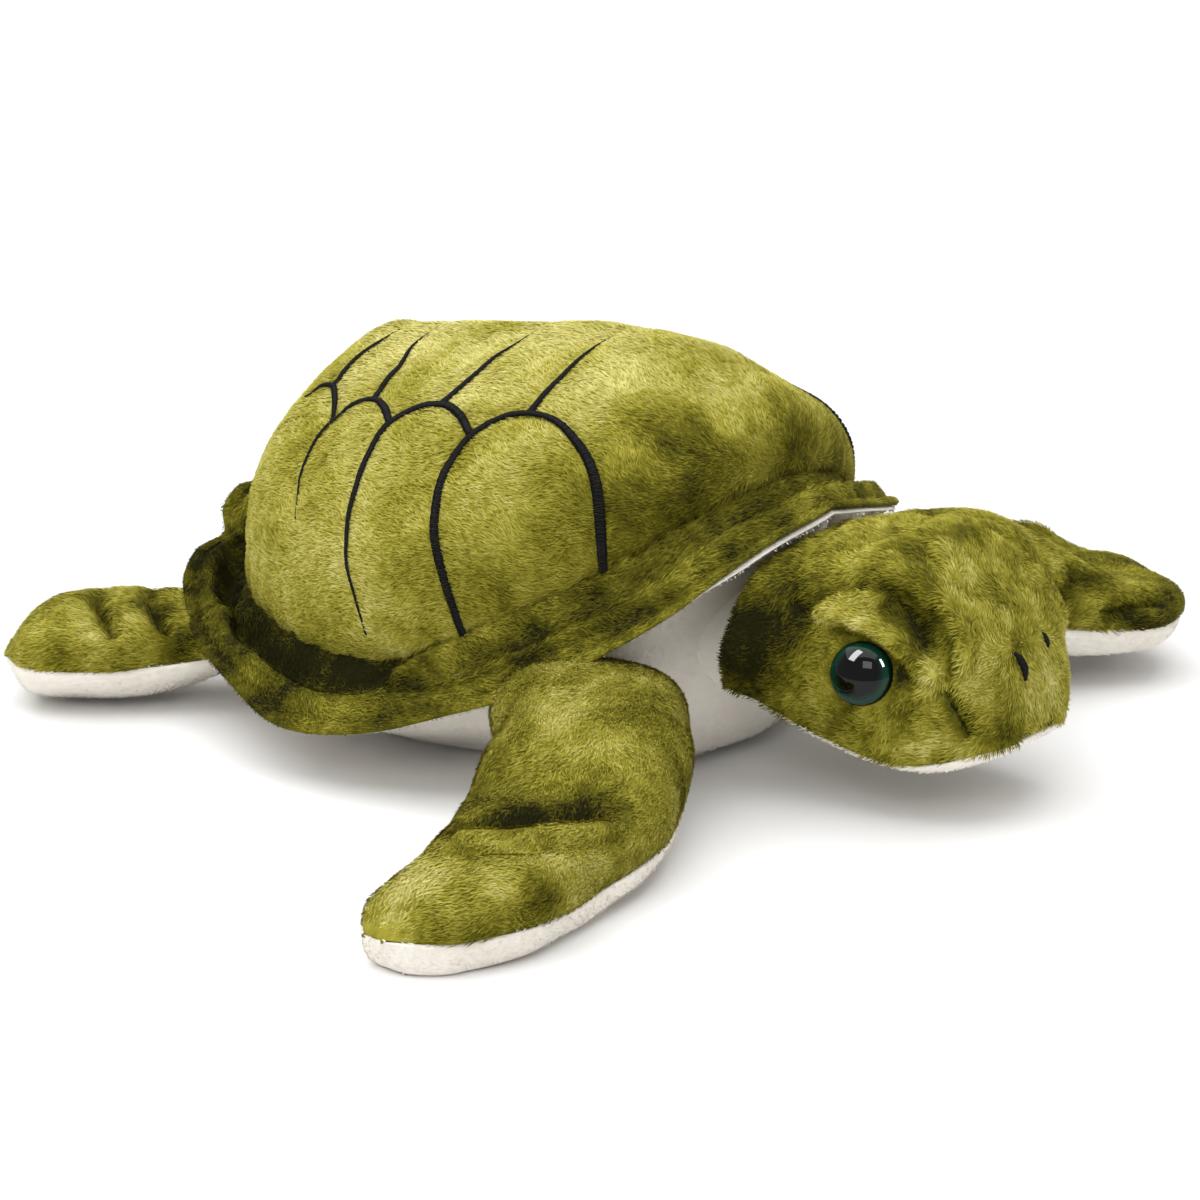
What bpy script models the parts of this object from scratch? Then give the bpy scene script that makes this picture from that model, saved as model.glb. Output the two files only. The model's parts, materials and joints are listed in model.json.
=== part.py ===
"""Plush sea turtle lying on its belly: a stuffed shell with a hanging brim, a head on a short neck,
four flippers and a small tail, each made of sewn panels around its own stuffing.

Metres, +Z up. The head points to -Y, and the turtle's left is +X. The origin is on the floor,
under the middle of the shell. Runs in Blender 4.5.
"""
import math

import bmesh
import bpy
from mathutils import Matrix, Vector
from mathutils.bvhtree import BVHTree

# Cloth, gaps and cuts
PLUSH = 0.0026             # thickness of the green plush cloth with its pile
LINING = 0.0018            # thickness of the short white cloth
SEAM_GAP = 0.0003          # between two panels at their seam
FILL_GAP = 0.0006          # between a panel and the stuffing inside it
BODY_FILL_GAP = 0.0012     # the same at the steep sides of the body
TRIM_GAP = 0.0003          # between a sewn or pressed-on piece and what carries it
FLAT_DEPTH = 0.0005        # how deep a form is cut flat where it rests
OVERRUN = 0.02             # how far a cutter runs past what it cuts
FAR = 1.0                  # where the lines that find a surface start
EDGE_STEP = 0.00002        # sideways step of a line that ran along an edge
MERGE_DISTANCE = 0.00001
STRAIGHT = math.radians(0.1)   # a limb that bends less than this is straight

# Shell and belly
SHELL_WIDTH = 0.190
SHELL_LENGTH = 0.214
SHELL_TOP = 0.131
SEAM_HEIGHT = 0.038        # seam between shell and belly, at the sides
SEAM_FRONT_RISE = 0.060    # the seam climbs over the neck
SEAM_REAR_RISE = 0.010
SHELL_COLUMNS = 12
# (share of the half width, share of the height from seam to top), from the seam up
SHELL_ROW_SHARES = ((1.00, 0.0), (1.03, 0.27), (0.93, 0.70), (0.58, 1.00))
# (share of the half width, share of the height from floor to seam), from the seam down
BELLY_ROW_SHARES = ((1.00, 1.0), (1.00, 0.50), (0.88, 0.08), (0.62, 0.0))
FRONT_CURVE_SHARE = 1.6    # how late the seam climbs on its way to the front

# Brim
BRIM_CLOTH_GAP = 0.0008    # between the brim and its lining
BRIM_INNER_GAP = 0.0004    # between the brim and the seam that it is sewn into
BRIM_SIDE_REACH = 0.030
BRIM_FRONT_REACH = 0.018
BRIM_REAR_REACH = 0.020
BRIM_SIDE_HEIGHT = 0.021   # height of the brim's outer edge
BRIM_FRONT_HEIGHT = 0.094
BRIM_REAR_HEIGHT = 0.050

# Bag of pellets inside the belly
BAG_WIDTH = 0.110
BAG_LENGTH = 0.130
BAG_HEIGHT = 0.016
# (share of the half width, share of the height), from the bottom up
BAG_ROW_SHARES = ((0.70, 0.0), (1.05, 0.5), (0.70, 1.0))
BAG_COLUMNS = 10

# Head and neck
HEAD_WIDTH = 0.088          # across the jaw seam; the cheeks swell out past it
HEAD_LENGTH = 0.0945
JAW_SEAM_HEIGHT = 0.034    # seam between crown and chin, at the neck
JAW_SEAM_DROP = 0.013
CROWN_RISE = 0.071
CHIN_DEPTH = 0.010
NECK_LENGTH = 0.007
NECK_RADIUS = 0.023
NECK_HEIGHT = 0.048
NECK_SIDES = 20

# Eyes and nostrils
EYE_RADIUS = 0.0105
EYE_DOME = 0.0060          # how far the clear dome stands out
EYE_BACK = 0.0014          # thickness of the black disc behind the dome
EYE_SEAT_DEPTH = 0.0012    # the cloth is pressed in this far under the eye
EYE_STEPS = 16
EYE_DOME_POINTS = 4
SHANK_RADIUS = 0.0024
SHANK_LENGTH = 0.0110
WASHER_RADIUS = 0.0065
WASHER_THICKNESS = 0.0014
WASHER_SEAT = 0.0018       # clears the curved cloth behind the eye
EYE_ALONG_SHARE = 0.575    # of the head's length, from the neck
EYE_HEIGHT = 0.052
NOSTRIL_THREAD = 0.0012    # radius of the nostril's bundle of stitches
NOSTRIL_LENGTH = 0.009
NOSTRIL_BOW = 0.0015
NOSTRIL_OFFSET = 0.0130    # from the middle of the snout
NOSTRIL_HEIGHT = 0.055
NOSTRIL_POINTS = 5

# Front flippers
FRONT_LENGTH = 0.183
FRONT_HINGE_HEIGHT = 0.027
FRONT_DROP = 0.016         # the seam sinks this much towards the tip
FRONT_RISE = 0.030
FRONT_DEPTH = 0.0125
FRONT_INSET = 0.016        # from the root end to the axis at the shoulder
FRONT_SHOULDER = 42.0      # bearing of the shoulder from straight ahead, in degrees
FRONT_BEND = 47.0          # the blade turns back this much, in degrees
LEFT_SWEEP = 11.0          # the left front flipper turns back this much more

# Rear flippers
REAR_LENGTH = 0.087
REAR_HINGE_HEIGHT = 0.021
REAR_DROP = 0.006
REAR_RISE = 0.023
REAR_DEPTH = 0.0165
REAR_INSET = 0.0195
REAR_HIP = 148.0
REAR_BEND = 4.0

# Tail
TAIL_LENGTH = 0.034
TAIL_HINGE_HEIGHT = 0.024
TAIL_DROP = 0.006
TAIL_RISE = 0.007
TAIL_DEPTH = 0.006
TAIL_INSET = 0.006

ROOT_GAP = 0.0009          # between a limb's root end and the body's wall, which leans out above it

# Outlines of the limbs, from root to tip: shares of the length (along, forward edge, rear edge), of
# the seam's drop, of the rise and of the depth
FRONT_SHARES = (
    (0.00, 0.110, 0.110, 0.00, 0.00, 0.00),
    (0.08, 0.185, 0.180, 0.05, 0.60, 0.90),
    (0.28, 0.215, 0.185, 0.50, 1.05, 1.00),
    (0.48, 0.240, 0.165, 0.85, 0.46, 1.00),
    (0.66, 0.235, 0.145, 1.00, 0.72, 1.00),
    (0.90, 0.180, 0.095, 1.00, 0.50, 1.00),
    (1.00, 0.105, 0.050, 1.00, 0.00, 0.00),
)
REAR_SHARES = (
    (0.00, 0.16, 0.16, 0.00, 0.00, 0.00),
    (0.12, 0.26, 0.25, 0.15, 0.24, 0.60),
    (0.44, 0.34, 0.33, 0.90, 0.98, 1.00),
    (0.63, 0.35, 0.34, 1.00, 0.76, 1.00),
    (0.86, 0.33, 0.31, 1.00, 1.02, 1.00),
    (1.00, 0.16, 0.14, 1.00, 0.00, 0.00),
)
TAIL_SHARES = (
    (0.00, 0.26, 0.26, 0.00, 0.00, 0.00),
    (0.24, 0.40, 0.40, 0.20, 0.95, 0.95),
    (1.00, 0.06, 0.06, 1.00, 0.00, 0.00),
)
# The same for the head, with the edges as shares of its half width
HEAD_SHARES = (
    (0.00, 0.78, 0.78, 0.00, 0.00, 0.00),
    (0.06, 0.91, 0.91, 0.15, 0.60, 0.55),
    (0.28, 1.00, 1.00, 0.65, 0.86, 0.95),
    (0.54, 1.00, 1.00, 1.00, 1.02, 1.00),
    (0.80, 0.84, 0.84, 0.97, 0.78, 1.00),
    (0.96, 0.55, 0.55, 0.90, 0.46, 0.65),
    (1.00, 0.30, 0.30, 0.90, 0.00, 0.00),
)
# Columns across a form: their places, their shares of its height, and how far they swell out past
# the seam, as a share of the height there
LIMB_ACROSS_SHARES = (
    (0.00, 0.00, 0.00), (0.12, 0.76, 0.00), (0.50, 1.00, 0.00), (0.88, 0.76, 0.00), (1.00, 0.00, 0.00)
)
UNDER_ACROSS_SHARES = (
    (0.00, 0.00, 0.00), (0.05, 0.80, 0.40), (0.50, 1.00, 0.00), (0.95, 0.80, 0.40), (1.00, 0.00, 0.00)
)
HEAD_ACROSS_SHARES = (
    (0.00, 0.00, 0.00), (0.03, 0.40, 0.15), (0.16, 0.84, 0.07), (0.36, 1.00, 0.00),
    (0.64, 1.00, 0.00), (0.84, 0.84, 0.07), (0.97, 0.40, 0.15), (1.00, 0.00, 0.00),
)
HEAD_FILL_ACROSS_SHARES = (
    (0.00, 0.00, 0.00), (0.05, 0.62, 0.12), (0.50, 1.00, 0.00), (0.95, 0.62, 0.12), (1.00, 0.00, 0.00)
)
FRONT_COLUMNS = (LIMB_ACROSS_SHARES, UNDER_ACROSS_SHARES)
REAR_COLUMNS = (LIMB_ACROSS_SHARES, LIMB_ACROSS_SHARES)
HEAD_COLUMNS = (HEAD_ACROSS_SHARES, LIMB_ACROSS_SHARES)
HEAD_FILL_COLUMNS = (HEAD_FILL_ACROSS_SHARES, LIMB_ACROSS_SHARES)
CHEEK_COLUMNS = 2          # the crown takes the columns between the two cheeks

# Satin stitches that outline the scutes on the right half: (bearing, elevation) in degrees, seen
# from the middle of the shell at seam height. Bearing 0 is straight to the side, 90 the tail.
STITCH_RADIUS = 0.0015
STITCH_GAP = 0.0010        # clears the shell's curve between two points of a stitch
STITCH_SPACING = 0.0095
SCUTES = (
    ((-24, 9), (-20, 18), (-17, 29), (-19, 38), (-22, 45), (-28, 48), (-36, 49), (-43, 47), (-48, 40),
     (-50, 31), (-49.5, 24)),
    ((-3, 8), (2, 14), (4, 22), (4, 31), (3, 39), (0, 46), (-5, 50), (-11, 51), (-16, 49.5),
     (-19.7, 46.5)),
    ((18, 14), (21, 22), (24, 31), (24, 38), (22, 43), (18, 47), (12, 50), (8, 49.5), (4.2, 47)),
    ((42, 16), (45, 28), (44, 38), (40, 45), (34, 48.5), (28, 47.5), (24.3, 44.8)),
)
# Stitches from the top of each scute over the middle of the shell, listed up to its middle
RIDGES = (
    ((-37, 52), (-47, 60), (-62, 66), (-90, 69)),
    ((-11, 54), (-17, 65), (-35, 77), (-90, 83)),
    ((11, 53), (17, 65), (35, 77), (90, 82)),
    ((35, 52), (45, 60), (62, 66), (90, 68)),
)

# Colours
GREEN = (0.19, 0.22, 0.045)
LIGHT_GREEN = (0.42, 0.42, 0.12)
WHITE = (0.83, 0.79, 0.70)
THREAD = (0.012, 0.012, 0.010)
FIBRE = (0.86, 0.86, 0.84)
BAG = (0.62, 0.60, 0.55)
IRIS = (0.0, 0.05, 0.03)
BLACK = (0.006, 0.006, 0.006)
NYLON = (0.75, 0.75, 0.72)

RIGHT = -1
LEFT = 1
SIDES = ((RIGHT, "right"), (LEFT, "left"))


def clear_scene():
    for obj in list(bpy.data.objects):
        bpy.data.objects.remove(obj, do_unlink=True)


def make_collection(name):
    collection = bpy.data.collections.new(name)
    bpy.context.scene.collection.children.link(collection)
    return collection


clear_scene()
TURTLE = make_collection("plush_turtle")
CUTTERS = make_collection("cutters")


def material(name, colour, roughness, metallic=0.0):
    made = bpy.data.materials.get(name)
    if made is None:
        made = bpy.data.materials.new(name)
        made.use_nodes = True
        shader = made.node_tree.nodes["Principled BSDF"]
        shader.inputs["Base Color"].default_value = (*colour, 1.0)
        shader.inputs["Roughness"].default_value = roughness
        shader.inputs["Metallic"].default_value = metallic
    return made


def place(obj, parent=None):
    """Puts a finished piece in the turtle's collection, under the empty that carries it."""
    TURTLE.objects.link(obj)
    obj.parent = parent
    return obj


def hide_cutter(obj):
    CUTTERS.objects.link(obj)
    obj.hide_render = True
    obj.display_type = "WIRE"
    return obj


def make_empty(name, location, rotation_z=0.0):
    empty = bpy.data.objects.new(name, None)
    empty.location = location
    empty.rotation_euler = (0.0, 0.0, rotation_z)
    TURTLE.objects.link(empty)
    bpy.context.view_layer.update()
    return empty


def make_object(name, points, faces, finish, creases=()):
    """A mesh object whose faces point out, with the given closed rows of points kept sharp."""
    mesh = bpy.data.meshes.new(name)
    mesh.from_pydata(points, [], faces)
    bm = bmesh.new()
    bm.from_mesh(mesh)
    bm.verts.ensure_lookup_table()
    sharp = bm.edges.layers.float.new("crease_edge")
    for row in creases:
        for a, b in zip(row, row[1:] + row[:1]):
            bm.edges.get((bm.verts[a], bm.verts[b]))[sharp] = 1.0
    bmesh.ops.recalc_face_normals(bm, faces=bm.faces)
    if bm.calc_volume(signed=True) < 0:
        bmesh.ops.reverse_faces(bm, faces=bm.faces)
    bm.to_mesh(mesh)
    bm.free()
    mesh.shade_smooth()
    mesh.materials.append(finish)
    return bpy.data.objects.new(name, mesh)


def soften(obj, levels=1):
    smooth = obj.modifiers.new("soft form", "SUBSURF")
    smooth.levels = levels
    smooth.render_levels = levels
    return obj


def cut(obj, cutter):
    boolean = obj.modifiers.new(cutter.name, "BOOLEAN")
    boolean.operation = "DIFFERENCE"
    boolean.object = cutter
    return obj


def turn_profile(name, profile, steps, finish, closed=False):
    """A turned solid from a profile at +X, listed down its outer side."""
    mesh = bpy.data.meshes.new(name)
    edges = [(i, i + 1) for i in range(len(profile) - 1)]
    if closed:
        edges.append((len(profile) - 1, 0))
    mesh.from_pydata([(r, 0.0, z) for r, z in profile], edges, [])
    if finish is not None:
        mesh.materials.append(finish)
    obj = bpy.data.objects.new(name, mesh)
    screw = obj.modifiers.new("turn", "SCREW")
    screw.steps = steps
    screw.render_steps = steps
    screw.use_merge_vertices = True
    screw.merge_threshold = MERGE_DISTANCE
    screw.use_smooth_shade = True
    return obj


def make_tube(name, points, radius, finish):
    curve = bpy.data.curves.new(name, "CURVE")
    curve.dimensions = "3D"
    curve.bevel_depth = radius
    curve.bevel_resolution = 1
    curve.use_fill_caps = True
    spline = curve.splines.new("POLY")
    spline.points.add(len(points) - 1)
    for knot, point in zip(spline.points, points):
        knot.co = (*point, 1.0)
    curve.materials.append(finish)
    return bpy.data.objects.new(name, curve)


def surface_of(objects):
    """The finished outer skin of some pieces in world space, to seat other pieces on."""
    bpy.context.view_layer.update()
    graph = bpy.context.evaluated_depsgraph_get()
    points, faces = [], []
    for obj in objects:
        done = obj.evaluated_get(graph)
        mesh = done.to_mesh()
        first = len(points)
        points += [obj.matrix_world @ v.co for v in mesh.vertices]
        faces += [[first + i for i in face.vertices] for face in mesh.polygons]
        done.to_mesh_clear()
    return BVHTree.FromPolygons(points, faces)


def outer_point(surface, target, direction):
    """Where a line from far outside towards the target first meets the surface, and its normal,
    or None twice if it passes the surface by."""
    direction = Vector(direction).normalized()
    start = Vector(target) + direction * FAR
    point, normal, _, _ = surface.ray_cast(start, -direction)
    if point is None:
        # the line ran exactly along an edge between two faces
        point, normal, _, _ = surface.ray_cast(start + Vector((EDGE_STEP, EDGE_STEP, 0.0)), -direction)
    if point is not None and normal.dot(direction) < 0:
        normal = -normal
    return point, normal


# Rings: shell, belly, brim and bags

def ring_push(columns):
    """A ring of so few points shrinks when it is smoothed, and this undoes it."""
    return 8 / (6 + 2 * math.cos(2 * math.pi / columns))


def bearing(k, columns):
    return 2 * math.pi * k / columns


def front_share(angle):
    return max(0.0, -math.sin(angle))


def rear_share(angle):
    return max(0.0, math.sin(angle))


def seam_height(angle):
    front = SEAM_FRONT_RISE * front_share(angle) ** FRONT_CURVE_SHARE
    return SEAM_HEIGHT + front + SEAM_REAR_RISE * rear_share(angle) ** 2


def ring(half_width, half_length, height, columns):
    """One ring of points, whose height is a function of the bearing."""
    push = ring_push(columns)
    points = []
    for k in range(columns):
        angle = bearing(k, columns)
        x = half_width * push * math.cos(angle)
        y = half_length * push * math.sin(angle)
        points.append((x, y, height(angle)))
    return points


def shell_rings(inset, top_inset, lift, columns=SHELL_COLUMNS):
    half_width = SHELL_WIDTH / 2 - inset
    half_length = SHELL_LENGTH / 2 - inset
    top = SHELL_TOP - top_inset
    rings = []
    for across, up in SHELL_ROW_SHARES:
        low = lift if up == 0 else 0.0

        def height(angle, up=up, low=low):
            seam = seam_height(angle)
            return seam + (top - seam) * up + low

        rings.append(ring(half_width * across, half_length * across, height, columns))
    return rings, (0.0, 0.0, top)


def belly_rings(inset, base, lift, columns=SHELL_COLUMNS):
    half_width = SHELL_WIDTH / 2 - inset
    half_length = SHELL_LENGTH / 2 - inset
    rings = []
    for across, up in BELLY_ROW_SHARES:
        low = lift if up == 1 else 0.0

        def height(angle, up=up, low=low):
            return base + (seam_height(angle) - base) * up - low

        rings.append(ring(half_width * across, half_length * across, height, columns))
    return rings, (0.0, 0.0, base)


def ring_faces(rings, first, columns):
    faces = []
    for i in range(len(rings) - 1):
        for k in range(columns):
            a = first + i * columns + k
            b = first + i * columns + (k + 1) % columns
            faces.append((a, b, b + columns, a + columns))
    return faces


def pole_faces(row_start, pole, columns):
    return [(row_start + k, row_start + (k + 1) % columns, pole) for k in range(columns)]


def walled_dome(name, outer, inner, finish):
    """A cup of cloth: its outer rings and pole, its inner ones, and the rim between them."""
    columns = len(outer[0][0])
    points, faces, rims = [], [], []
    for rings, pole in (outer, inner):
        first = len(points)
        rims.append(list(range(first, first + columns)))
        for row in rings:
            points += row
        points.append(pole)
        faces += ring_faces(rings, first, columns)
        faces += pole_faces(len(points) - 1 - columns, len(points) - 1, columns)
    for k in range(columns):
        nxt = (k + 1) % columns
        faces.append((rims[0][k], rims[0][nxt], rims[1][nxt], rims[1][k]))
    return make_object(name, points, faces, finish, rims)


def closed_bag(name, rings, bottom, top, finish):
    """A closed soft form of rings from its bottom to its top."""
    columns = len(rings[0])
    points = [p for row in rings for p in row] + [bottom, top]
    faces = ring_faces(rings, 0, columns)
    faces += pole_faces(0, len(points) - 2, columns)
    faces += pole_faces((len(rings) - 1) * columns, len(points) - 1, columns)
    return make_object(name, points, faces, finish)


def brim_edge_height(angle):
    front = (BRIM_FRONT_HEIGHT - BRIM_SIDE_HEIGHT) * front_share(angle) ** FRONT_CURVE_SHARE
    return BRIM_SIDE_HEIGHT + front + (BRIM_REAR_HEIGHT - BRIM_SIDE_HEIGHT) * rear_share(angle) ** 2


def brim_ring(out_share, drop):
    """One ring of the brim, from the shell's side at share 0 to the brim's edge at share 1."""
    push = ring_push(SHELL_COLUMNS)
    points = []
    for k in range(SHELL_COLUMNS):
        angle = bearing(k, SHELL_COLUMNS)
        end_reach = BRIM_FRONT_REACH if math.sin(angle) < 0 else BRIM_REAR_REACH
        reach = BRIM_SIDE_REACH + (end_reach - BRIM_SIDE_REACH) * math.sin(angle) ** 2
        out = BRIM_INNER_GAP + (reach - BRIM_INNER_GAP) * out_share
        height = seam_height(angle) * (1 - out_share) + brim_edge_height(angle) * out_share
        x = (SHELL_WIDTH / 2 + out) * push * math.cos(angle)
        y = (SHELL_LENGTH / 2 + out) * push * math.sin(angle)
        points.append((x, y, height - drop))
    return points


def brim_cloth(name, top_drop, thickness, finish):
    """One cloth of the brim, a flat ring whose four edges stay sharp."""
    rings = [brim_ring(share, top_drop) for share in (0.0, 1.0)]
    rings += [brim_ring(share, top_drop + thickness) for share in (1.0, 0.0)]
    points = [p for row in rings for p in row]
    count = len(points)
    faces = [tuple(i % count for i in face) for face in ring_faces(rings + rings[:1], 0, SHELL_COLUMNS)]
    edges = [list(range(start, start + SHELL_COLUMNS)) for start in range(0, count, SHELL_COLUMNS)]
    return make_object(name, points, faces, finish, edges)


# Sewn forms: head, flippers and tail

def spine_frame(distance, length, bend):
    """Where a limb's middle line is at a distance from its root, and its sideways direction."""
    if abs(bend) < STRAIGHT:
        return (distance, 0.0), (0.0, 1.0)
    turned = bend * distance / length
    radius = length / bend
    middle = (radius * math.sin(turned), -radius * (1 - math.cos(turned)))
    return middle, (math.sin(turned), math.cos(turned))


class Form:
    """A sewn form along a bent middle line. Its upper and lower panels meet at a seam that runs
    round its outline, and its stuffing lies inside them. The inset is how far its axis lies inside
    its root end."""

    def __init__(
        self, stations, columns, length, half_width, drop, rise, depth, inset, bend=0.0, mirror=1
    ):
        self.stations = stations
        self.columns = columns
        self.length = length
        self.half_width = half_width
        self.drop = drop
        self.rise = rise
        self.depth = depth
        self.bend = bend
        self.mirror = mirror
        self.inset = inset

    def rows(self, upper, inset=0.0, lift=0.0, first=0, last=None):
        """The points of one skin, row by row from root to tip, column by column across."""
        across = self.columns[0 if upper else 1]
        last = len(across) - 1 if last is None else last
        sign = 1 if upper else -1
        rows = []
        for i, (along, fore, aft, sink, up, down) in enumerate(self.stations):
            distance = along * self.length
            end = i in (0, len(self.stations) - 1)
            if i == 0:
                distance += inset
            elif end:
                distance -= inset
            middle, side = spine_frame(distance, self.length, self.bend)
            fore_edge = fore * self.half_width - inset
            aft_edge = -aft * self.half_width + inset
            full = (up * self.rise) if upper else (down * self.depth)
            height = 0.0 if end else full - inset
            row = []
            for j in range(first, last + 1):
                place_share, height_share, swell_share = across[j]
                out = fore_edge + (aft_edge - fore_edge) * place_share
                swell = max(height, 0.0) * swell_share
                out += swell if j < len(across) / 2 else -swell
                if first > 0 and j == first or last < len(across) - 1 and j == last:
                    out -= SEAM_GAP / 2 if j == first else -SEAM_GAP / 2
                x = middle[0] + side[0] * out - self.inset
                y = (middle[1] + side[1] * out) * self.mirror
                z = -sink * self.drop + sign * (lift + height * height_share)
                row.append((x, y, z))
            rows.append(row)
        return rows

    def panel(self, name, upper, cloth, finish, first=0, last=None):
        outer = self.rows(upper, 0.0, SEAM_GAP / 2, first, last)
        inner = self.rows(upper, cloth, SEAM_GAP / 2, first, last)
        return walled_grid(name, outer, inner, finish)

    def stuffing(self, name, cloth, finish):
        inset = cloth + FILL_GAP
        return closed_grid(name, self.rows(True, inset), self.rows(False, inset), finish)


def grid_faces(index):
    faces = []
    for a, b in zip(index, index[1:]):
        for j in range(len(a) - 1):
            faces.append((a[j], b[j], b[j + 1], a[j + 1]))
    return faces


def number_rows(rows, start):
    index = []
    for row in rows:
        index.append(list(range(start, start + len(row))))
        start += len(row)
    return index


def outline(index):
    """The numbers of a grid's edge points, once round."""
    loop = list(index[0])
    loop += [row[-1] for row in index[1:]]
    loop += list(reversed(index[-1][:-1]))
    loop += [row[0] for row in reversed(index[1:-1])]
    return loop


def walled_grid(name, outer, inner, finish):
    """A panel of cloth with its outer skin, its inner skin and its cut edge."""
    outer_index = number_rows(outer, 0)
    points = [p for row in outer for p in row]
    inner_index = number_rows(inner, len(points))
    points += [p for row in inner for p in row]
    faces = grid_faces(outer_index) + grid_faces(inner_index)
    edges = [outline(outer_index), outline(inner_index)]
    for k in range(len(edges[0])):
        nxt = (k + 1) % len(edges[0])
        faces.append((edges[0][k], edges[0][nxt], edges[1][nxt], edges[1][k]))
    return make_object(name, points, faces, finish, edges)


def closed_grid(name, top, bottom, finish):
    """Stuffing: two skins that share their outline."""
    top_index = number_rows(top, 0)
    points = [p for row in top for p in row]
    bottom_index = [list(row) for row in top_index]
    for i in range(1, len(bottom) - 1):
        for j in range(1, len(bottom[i]) - 1):
            bottom_index[i][j] = len(points)
            points.append(bottom[i][j])
    return make_object(name, points, grid_faces(top_index) + grid_faces(bottom_index), finish)


plush = material("green_plush", GREEN, 0.95)
light_plush = material("light_green_plush", LIGHT_GREEN, 0.95)
lining = material("white_short_plush", WHITE, 0.95)
thread = material("black_thread", THREAD, 0.55)
fibre = material("polyester_fibre", FIBRE, 1.0)
bag_cloth = material("pellet_bag_cloth", BAG, 0.9)
eye_clear = material("eye_dome_plastic", IRIS, 0.05)
eye_black = material("eye_back_plastic", BLACK, 0.2)
nylon = material("washer_nylon", NYLON, 0.5)


def make_floor_cutter():
    """A block under the floor, which cuts resting forms flat."""
    size = SHELL_WIDTH + SHELL_LENGTH + FRONT_LENGTH * 2 + HEAD_LENGTH * 2
    mesh = bpy.data.meshes.new("floor_block")
    bm = bmesh.new()
    bmesh.ops.create_cube(bm, size=1.0)
    bmesh.ops.scale(bm, vec=(size, size, OVERRUN), verts=bm.verts)
    bmesh.ops.translate(bm, vec=(0.0, 0.0, -OVERRUN / 2), verts=bm.verts)
    bm.to_mesh(mesh)
    bm.free()
    return hide_cutter(bpy.data.objects.new("floor_block", mesh))


def make_body(floor_block):
    half_gap = SEAM_GAP / 2
    cover = walled_dome(
        "carapace_cover",
        shell_rings(0.0, 0.0, half_gap),
        shell_rings(PLUSH, PLUSH, half_gap),
        light_plush,
    )
    belly = walled_dome(
        "belly_cover",
        belly_rings(0.0, -FLAT_DEPTH, half_gap),
        belly_rings(PLUSH, LINING, half_gap),
        lining,
    )
    place(soften(cover))
    place(cut(soften(belly), floor_block))

    bag_base = LINING + FILL_GAP
    bag_rings = []
    for across, up in BAG_ROW_SHARES:
        level = bag_base + BAG_HEIGHT * up
        bag_rings.append(
            ring(BAG_WIDTH / 2 * across, BAG_LENGTH / 2 * across, lambda angle, z=level: z, BAG_COLUMNS)
        )
    bag = closed_bag(
        "pellet_bag", bag_rings, (0.0, 0.0, bag_base), (0.0, 0.0, bag_base + BAG_HEIGHT), bag_cloth
    )
    place(soften(bag))

    inset = PLUSH + BODY_FILL_GAP
    upper, top = shell_rings(inset, PLUSH + FILL_GAP, 0.0)
    base = bag_base + BAG_HEIGHT + FILL_GAP
    lower, bottom = belly_rings(inset, base, 0.0)
    stuffing = closed_bag("body_stuffing", lower[::-1] + upper[1:], bottom, top, fibre)
    place(soften(stuffing))

    place(soften(brim_cloth("brim_upper", 0.0, PLUSH, plush)))
    place(soften(brim_cloth("brim_lining", PLUSH + BRIM_CLOTH_GAP, LINING, lining)))
    return cover, belly


def make_limb(name, form, hinge, heading, clothes, floor_block=None):
    """Upper panel, underside and stuffing of a limb, on the empty that lies on its axis."""
    axis = make_empty(name + "_axis", hinge, heading)
    place(soften(form.panel(name + "_upper", True, PLUSH, clothes[0])), axis)
    underside = soften(form.panel(name + "_underside", False, LINING, clothes[1]))
    if floor_block is not None:
        cut(underside, floor_block)
    place(underside, axis)
    if len(clothes) > 2:
        place(soften(form.stuffing(name + "_stuffing", PLUSH, clothes[2])), axis)
    return axis


def root_place(wall, bearing_ahead, side, height, inset):
    """The axis point of a limb whose root end lies at the body's wall, and the wall's heading."""
    angle = math.radians(bearing_ahead)
    out = Vector((side * math.sin(angle), -math.cos(angle), 0.0))
    point, normal = outer_point(wall, (0.0, 0.0, height), out)
    normal.z = 0.0
    normal.normalize()
    return point + normal * (ROOT_GAP + inset), math.atan2(normal.y, normal.x)


def make_flippers(wall, floor_block):
    clothes = (plush, lining, fibre)
    for side, word in SIDES:
        sweep = LEFT_SWEEP if side == LEFT else 0.0
        front = Form(
            FRONT_SHARES, FRONT_COLUMNS, FRONT_LENGTH, FRONT_LENGTH, FRONT_DROP, FRONT_RISE,
            FRONT_DEPTH, FRONT_INSET, math.radians(FRONT_BEND + sweep), -side,
        )
        hinge, heading = root_place(wall, FRONT_SHOULDER, side, FRONT_HINGE_HEIGHT, FRONT_INSET)
        make_limb("front_flipper_" + word, front, hinge, heading, clothes, floor_block)
        rear = Form(
            REAR_SHARES, REAR_COLUMNS, REAR_LENGTH, REAR_LENGTH, REAR_DROP, REAR_RISE,
            REAR_DEPTH, REAR_INSET, math.radians(REAR_BEND), -side,
        )
        hinge, heading = root_place(wall, REAR_HIP, side, REAR_HINGE_HEIGHT, REAR_INSET)
        make_limb("rear_flipper_" + word, rear, hinge, heading, clothes, floor_block)


def make_tail(wall):
    tail = Form(
        TAIL_SHARES, REAR_COLUMNS, TAIL_LENGTH, TAIL_LENGTH, TAIL_DROP, TAIL_RISE, TAIL_DEPTH,
        TAIL_INSET,
    )
    rear = Vector((0.0, 1.0, 0.0))
    point, _ = outer_point(wall, (0.0, 0.0, TAIL_HINGE_HEIGHT), rear)
    hinge = point + rear * (ROOT_GAP + TAIL_INSET)
    make_limb("tail", tail, hinge, math.atan2(rear.y, rear.x), (plush, lining))


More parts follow.
